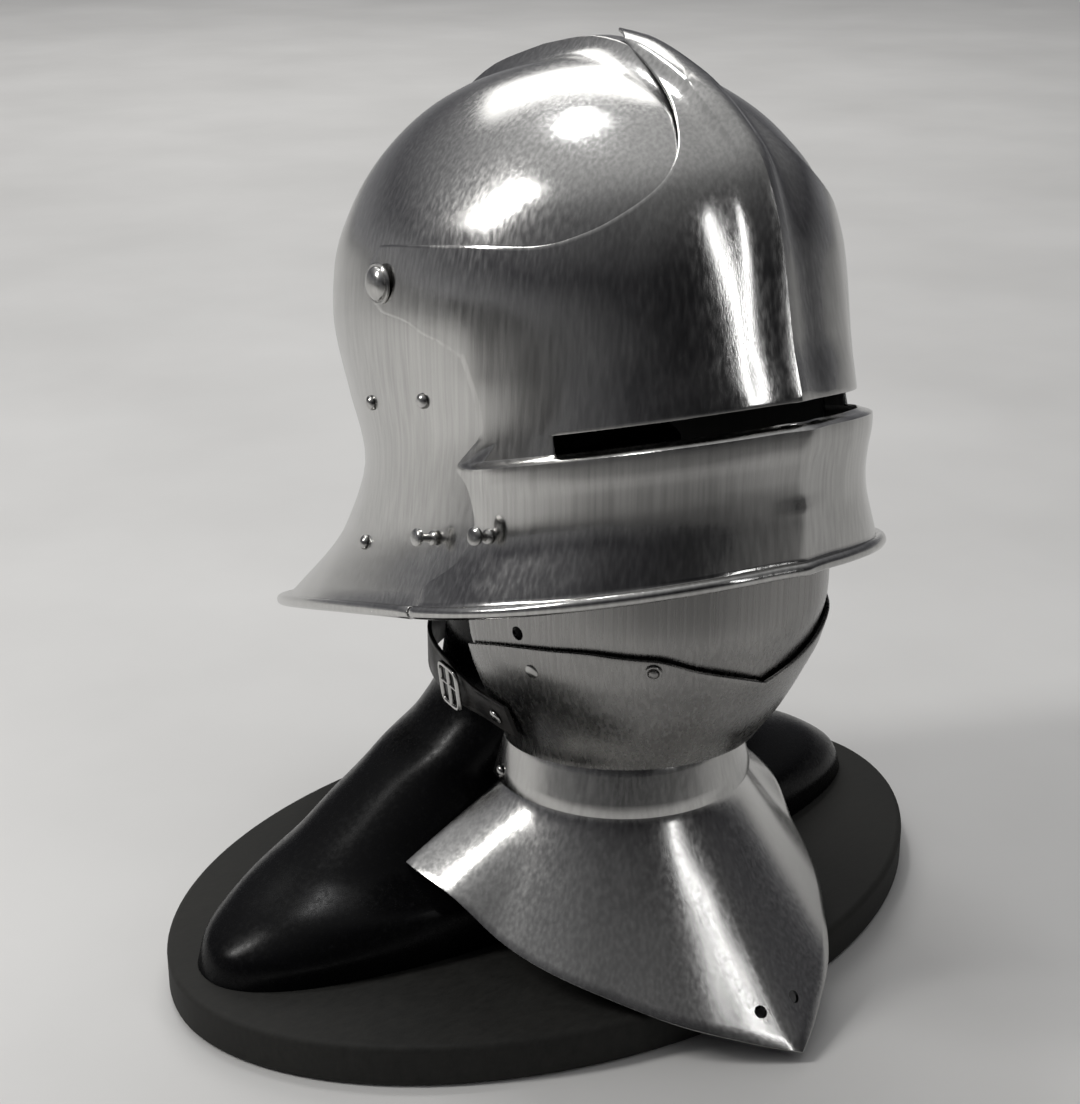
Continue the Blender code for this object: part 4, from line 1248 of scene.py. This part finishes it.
def rivet_tree(look):
    """Node tree that sets one domed rivet on each point of a mesh, along the point's own direction."""
    tree = bpy.data.node_groups.new("lining_rivets", "GeometryNodeTree")
    face = tree.interface
    face.new_socket("Geometry", in_out="INPUT", socket_type="NodeSocketGeometry")
    for label in ("Head Radius", "Head Rise", "Grip", "Shank Radius"):
        face.new_socket(label, in_out="INPUT", socket_type="NodeSocketFloat")
    face.new_socket("Geometry", in_out="OUTPUT", socket_type="NodeSocketGeometry")
    nodes = tree.nodes
    start = nodes.new("NodeGroupInput")
    end = nodes.new("NodeGroupOutput")
    ball = add(nodes, "GeometryNodeMeshUVSphere", Segments=28, Rings=20, Radius=1.0)
    squash = nodes.new("ShaderNodeCombineXYZ")
    tie(start, "Head Radius", squash, "X")
    tie(start, "Head Radius", squash, "Y")
    tie(start, "Head Rise", squash, "Z")
    domed = nodes.new("GeometryNodeTransform")
    tie(ball, "Mesh", domed, "Geometry")
    tie(squash, "Vector", domed, "Scale")
    height = nodes.new("GeometryNodeInputPosition")
    parts = nodes.new("ShaderNodeSeparateXYZ")
    tie(height, "Position", parts, "Vector")
    under = maths(nodes, "MAXIMUM", None, 0.0)
    tie(parts, "Z", under, 0)
    flat = nodes.new("ShaderNodeCombineXYZ")
    tie(parts, "X", flat, "X")
    tie(parts, "Y", flat, "Y")
    tie(under, "Value", flat, "Z")
    flattened = nodes.new("GeometryNodeSetPosition")
    tie(domed, "Geometry", flattened, "Geometry")
    tie(flat, "Vector", flattened, "Position")
    shank = add(nodes, "GeometryNodeMeshCylinder", Vertices=20)
    tie(start, "Shank Radius", shank, "Radius")
    tie(start, "Grip", shank, "Depth")
    halved = maths(nodes, "MULTIPLY", None, -0.48)
    tie(start, "Grip", halved, 0)
    lowered = nodes.new("ShaderNodeCombineXYZ")
    tie(halved, "Value", lowered, "Z")
    sunk = nodes.new("GeometryNodeTransform")
    tie(shank, "Mesh", sunk, "Geometry")
    tie(lowered, "Vector", sunk, "Translation")
    both = nodes.new("GeometryNodeJoinGeometry")
    tie(flattened, "Geometry", both, "Geometry")
    tie(sunk, "Geometry", both, "Geometry")
    way = nodes.new("GeometryNodeInputNamedAttribute")
    way.data_type = "FLOAT_VECTOR"
    way.inputs["Name"].default_value = "out"
    turn = nodes.new("FunctionNodeAlignRotationToVector")
    turn.axis = "Z"
    tie(way, "Attribute", turn, "Vector")
    spread = nodes.new("GeometryNodeInstanceOnPoints")
    tie(start, "Geometry", spread, "Points")
    tie(both, "Geometry", spread, "Instance")
    tie(turn, "Rotation", spread, "Rotation")
    real = nodes.new("GeometryNodeRealizeInstances")
    tie(spread, "Instances", real, "Geometry")
    soft = nodes.new("GeometryNodeSetShadeSmooth")
    tie(real, "Geometry", soft, "Geometry")
    paint = add(nodes, "GeometryNodeSetMaterial", Material=look)
    tie(soft, "Geometry", paint, "Geometry")
    tie(paint, "Geometry", end, "Geometry")
    return tree


def riveted(name, spots, tree, body, nodes):
    """Rivets on a list of places and outward directions, as one plain mesh."""
    mesh = bpy.data.meshes.new(name)
    mesh.from_pydata([tuple(place) for place, _ in spots], [], [])
    ways = mesh.attributes.new("out", "FLOAT_VECTOR", "POINT")
    for k, (_, out) in enumerate(spots):
        ways.data[k].vector = tuple(out)
    made = bpy.data.objects.new(name, mesh)
    bpy.context.collection.objects.link(made)
    rule = made.modifiers.new("rivets", "NODES")
    rule.node_group = tree
    labels = ("Head Radius", "Head Rise", "Grip", "Shank Radius")
    sockets = {item.name: item.identifier for item in tree.interface.items_tree if item.in_out == "INPUT"}
    for label, value in zip(labels, (*RIVET_LOOKS[name], LINING_SHANK)):
        rule[sockets[label]] = value
    bpy.context.view_layer.update()
    seen = made.evaluated_get(bpy.context.evaluated_depsgraph_get())
    plain = bpy.data.meshes.new_from_object(seen)
    made.modifiers.clear()
    made.data = plain
    plain.set_sharp_from_angle(angle=radians(SMALL_SHARP))
    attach(made, body)
    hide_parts(*nodes)


def make_small_rivets(tree):
    """Lining rivets of the skull, and the rivets of the bevor, collar and strap."""
    turn = helmet_place.to_3x3()
    spots, names = [], []
    for side in SIDES:
        for count, (angle, place) in enumerate(LINING_RIVETS):
            out = mirrored(bowl_normal(radians(angle), place), side)
            lift = LINING_SEAT if place < PEG_PLACE else HEM_SEAT
            at = mirrored(bowl_point(radians(angle), place), side) + out * lift * 0.4
            spots.append((helmet_place @ at, turn @ out))
            names.append("lining_rivet_" + side + "_" + str(count + 1))
    riveted("lining_rivets", spots, tree, "stand", names)
    at_collar = collar_plate(radians(COLLAR_RIVET_TURN), COLLAR_RIVET_DOWN)
    strap_way = bevor_out(radians(TAB_TURN), TAB_LEVEL)
    fall = (radians(FALL_TURN), FALL_LEVEL)
    pairs = (
        ("bevor_rivet", bevor_point(*fall), bevor_out(*fall)),
        ("collar_rivet", at_collar, Vector((at_collar.x, at_collar.y - NECK_BACK, 0)).normalized()),
        ("strap_rivet", strap_path(STRAP_RIVET_AT) + strap_way * (STRAP_THICK + 0.0002), strap_way),
    )
    for name, spot, out in pairs:
        spots = [(mirrored(spot, side), mirrored(out, side)) for side in SIDES]
        riveted(name + "s", spots, tree, "stand", [name + "_" + side for side in SIDES])


def make_pegs(look):
    """The two waisted pegs with their disc heads."""
    wide, top = PEG_RADIUS, PEG_LONG
    profile = (
        (-PLATE, 0), (-PLATE, wide * 0.4), (SEAT, wide * 0.4), (SEAT, wide * 0.96), (SEAT + 0.0004, wide),
        (0.0016, wide * 0.93), (0.0021, wide * 0.70), (0.0026, wide * 0.55), (top - 0.0038, wide * 0.5),
        (top - 0.0031, wide * 0.62), (top - 0.0028, wide * 1.06), (top - 0.0024, wide * 1.17),
        (top - 0.0010, wide * 1.19), (top - 0.0004, wide * 1.05), (top - 0.0001, wide * 0.7), (top, 0),
    )
    rows = (
        ("skull", "stand", SKULL_PEG_TURN, PEG_LIFT),
        ("visor", "visor", VISOR_PEG_TURN, visor_step(radians(VISOR_PEG_TURN), PEG_PLACE)),
    )
    for name, body, angle, lift in rows:
        out = bowl_normal(radians(angle), PEG_PLACE)
        foot = bowl_point(radians(angle), PEG_PLACE) + out * lift
        verts, faces = turned(profile, SMALL_SIDES, foot, out)
        nodes = (name + "_peg",)
        finished(name + "_pin", verts, faces, look, body, "steel", nodes, helmet_place, SMALL_SHARP)


def fan_plate(name, look, body, node, rows, point_of, angle_of, turn_limit):
    """A plate of the bevor or collar, fine, on its body in place of its plain node."""
    sheet = fan_sheet(FAN_COLUMNS * FINE, rows * FINE, point_of, angle_of, turn_limit)
    verts, faces = sheet.solid(PLATE)
    return finished(name, verts, faces, look, body, "steel", (node,), plate_of=sheet)


def make_bevor(look):
    """The two bevor plates and the button of the spring catch."""
    out = bevor_out(radians(CATCH_TURN), CATCH_LEVEL)
    foot = bevor_point(radians(CATCH_TURN), CATCH_LEVEL)
    lower = fan_plate(
        "bevor_lower_shell", look, "stand", "bevor_lower_plate", FAN_ROWS, lower_plate, widened, BEVOR_TURN)
    cut_holes(lower, [(foot, out, CATCH_STEM + BORE_GAP)])
    upper = fan_plate(
        "bevor_upper_shell", look, "falling_plate", "bevor_upper_plate", FAN_ROWS, upper_plate, even,
        BEVOR_TURN)
    hole = bevor_point(radians(HOLE_TURN), HOLE_LEVEL)
    way = bevor_out(radians(HOLE_TURN), HOLE_LEVEL)
    cut_holes(upper, [(mirrored(hole, side), mirrored(way, side), HOLE_RADIUS) for side in SIDES])
    profile = (
        (-PLATE - SEAT, 0), (-PLATE - SEAT, CATCH_STEM), (SEAT, CATCH_STEM), (SEAT, 0.0037),
        (SEAT + 0.0002, 0.0038), (0.0011, 0.0038), (0.0014, 0.0036), (0.0015, 0.0032), (0.0014, 0.0028),
        (0.0010, 0.0026), (0.0008, 0.0024), (0.0018, 0.0022), (0.0022, 0.0020), (0.0025, 0.0014),
        (0.0027, 0.0007), (0.0027, 0),
    )
    verts, faces = turned(profile, SMALL_SIDES, foot, out)
    finished("catch_knob", verts, faces, look, "stand", "steel", ("catch_button",))


def make_collar(look):
    """The collar and the gorget with its two holes."""
    fan_plate("collar_band", look, "stand", "collar", 1, collar_plate, even, COLLAR_TURN)
    gorget = fan_plate(
        "gorget_shell", look, "stand", "gorget_plate", FAN_ROWS, gorget_plate, narrowed, COLLAR_TURN)
    turns = (-KEEL_HOLE_TURN, KEEL_HOLE_TURN)
    spots = [gorget_plate(radians(turn), KEEL_HOLE_DOWN) for turn in turns]
    cut_holes(gorget, [(spot, (0, -0.9, 0.45), KEEL_HOLE_RADIUS) for spot in spots])


def make_strap(leather, steel):
    """The neck strap with its grooved outer face, and its buckle."""
    band = []
    steps = STRAP_STEPS * FINE
    for k in range(steps + 1):
        share = -1 + 2 * k / steps
        out = strap_out(share)
        rise = (Vector((0, 0, 1)) + out * strap_lean(share)).normalized() * STRAP_WIDE / 2
        middle = strap_path(share)
        ring = [middle + rise * across + out * STRAP_THICK * over for across, over in STRAP_SECTION]
        band.append(list(reversed(ring)))
    finished("strap_band", *lofted(band), leather, "stand", "leather", ("neck_strap",))
    make_buckle(steel)


def bent(share):
    """A signed share of a round, squared off towards the corners of the buckle."""
    return abs(share) ** 0.35 * (1 if share > 0 else -1)


def make_buckle(look):
    """A double bar buckle of round wire on the strap."""
    run = strap_path(BUCKLE_AT + 0.06) - strap_path(BUCKLE_AT - 0.06)
    place = strap_path(BUCKLE_AT) + strap_out(BUCKLE_AT) * (STRAP_THICK + BUCKLE_BAR / 2 + BUCKLE_LIFT)
    turn = Euler((0, -strap_lean(BUCKLE_AT), atan2(-run.x, run.y)), "YXZ").to_matrix().to_4x4()
    wire = BUCKLE_BAR / 2
    half_long, half_tall = BUCKLE_LONG / 2 - wire, BUCKLE_TALL / 2 - wire
    angles = [2 * pi * k / WIRE_STEPS for k in range(WIRE_STEPS)]
    path = [Vector((0, half_long * bent(cos(angle)), half_tall * bent(sin(angle)))) for angle in angles]
    verts, faces = [], []
    for k, point in enumerate(path):
        ahead = (path[(k + 1) % WIRE_STEPS] - path[k - 1]).normalized()
        side = Vector((1, 0, 0))
        out = side.cross(ahead).normalized()
        low, high = k * WIRE_SIDES, (k + 1) % WIRE_STEPS * WIRE_SIDES
        for j in range(WIRE_SIDES):
            angle = 2 * pi * j / WIRE_SIDES
            verts.append(point + side * wire * 0.9 * cos(angle) + out * wire * sin(angle))
            m = (j + 1) % WIRE_SIDES
            faces.append((low + j, low + m, high + m, high + j))
    bar = ((-half_tall, 0), (-half_tall, wire * 0.9), (half_tall, wire * 0.9), (half_tall, 0))
    tongue = ((-half_long, 0), (-half_long, wire * 0.55), (half_long, wire * 0.6), (half_long, 0))
    for profile, sides, middle, direction in (
        (bar, 16, (0, 0, 0), (0, 0, 1)), (tongue, 14, (-wire * 0.2, 0, 0.001), (0, 1, 0)),
    ):
        more_verts, more_faces = turned(profile, sides, middle, direction)
        count = len(verts)
        verts += more_verts
        faces += [tuple(i + count for i in face) for face in more_faces]
    set_at = Matrix.Translation(place) @ turn
    finished("buckle_frame", verts, faces, look, "stand", "steel", ("strap_buckle",), set_at, SMALL_SHARP)


def make_stand(gloss, board, post_look):
    """The oval board with its rounded edge, the bust, and the look of the plain post."""
    turns = [pi / 2 * k / BOARD_EDGE_STEPS for k in range(BOARD_EDGE_STEPS + 1)]
    rows = [(BASE_EASE * (1 - sin(turn)), BASE_EASE * (1 - cos(turn))) for turn in turns]
    rows += [(inset, BASE_THICK - level) for inset, level in reversed(rows)]
    rings = [
        oval(BASE_LONG - inset, BASE_DEEP - inset, 0, level, BASE_SIDES * FINE, BASE_SQUARE)
        for inset, level in rows
    ]
    finished("oval_board", *lofted(rings), board, "stand", "matt_black", ("base_board",))
    rings = []
    low, high = BUST[0][0], BUST[-1][0]
    for k in range(BUST_STEPS + 1):
        level = low + (high - low) * (k / BUST_STEPS) ** 1.25
        half, deep, back = (smooth(BUST, level, column) for column in (1, 2, 3))
        rings.append(oval(
            SHOULDER_HALF * half, SHOULDER_DEEP * deep, SHOULDER_DEEP * back,
            BASE_THICK + RUN_GAP + level, BUST_SIDES, BUST_SQUARE,
        ))
    finished("bust_shell", *lofted(rings), gloss, "stand", "gloss_black", ("neck_bust",))
    for slot in bpy.data.objects["head_post"].material_slots:
        slot.material = post_look


# Steels: light and dark tone, least and most roughness, hammer waves, brushing, turn of the grain.
UPRIGHT = (0.0, 0.0, 0.0)
ALONG = (0.0, radians(90), 0.0)
STEELS = {
    "polished_steel": ((0.63, 0.625, 0.61), (0.55, 0.545, 0.535), 0.13, 0.26, 0.10, 0.08, UPRIGHT),
    "polished_visor_steel": ((0.61, 0.605, 0.59), (0.52, 0.515, 0.505), 0.10, 0.22, 0.45, 0.08, UPRIGHT),
    "brushed_gorget_steel": ((0.62, 0.615, 0.60), (0.54, 0.535, 0.525), 0.15, 0.26, 0.14, 0.06, UPRIGHT),
    # The bevor's tones are darker than the other steels: painted shade, for the shade that falls on it
    # under the visor.
    "bevor_steel_with_painted_shade": ((0.36, 0.355, 0.345), (0.29, 0.285, 0.28), 0.22, 0.32, 0.03, 0.04, ALONG),
    "rivet_steel": ((0.64, 0.635, 0.62), (0.40, 0.395, 0.385), 0.12, 0.28, 0.02, 0.08, UPRIGHT),
}
brushed = steel_group()
plain_steel, visor_steel, gorget_steel, shaded_bevor_look, rivet_steel = (
    steel_material(name, brushed, *values) for name, values in STEELS.items()
)
make_camera()
make_studio()
make_skull(plain_steel)
make_visor(visor_steel)
make_hinge_rivets(rivet_steel)
make_small_rivets(rivet_tree(rivet_steel))
make_pegs(rivet_steel)
make_bevor(shaded_bevor_look)
make_collar(gorget_steel)
make_strap(leather_material(), rivet_steel)
make_stand(
    gloss_material(),
    board_material("board_paint", (0.030, 0.0295, 0.027), (0.012, 0.012, 0.011), 160.0),
    board_material("post_paint", (0.030, 0.029, 0.027), (0.012, 0.012, 0.011), 60.0),
)
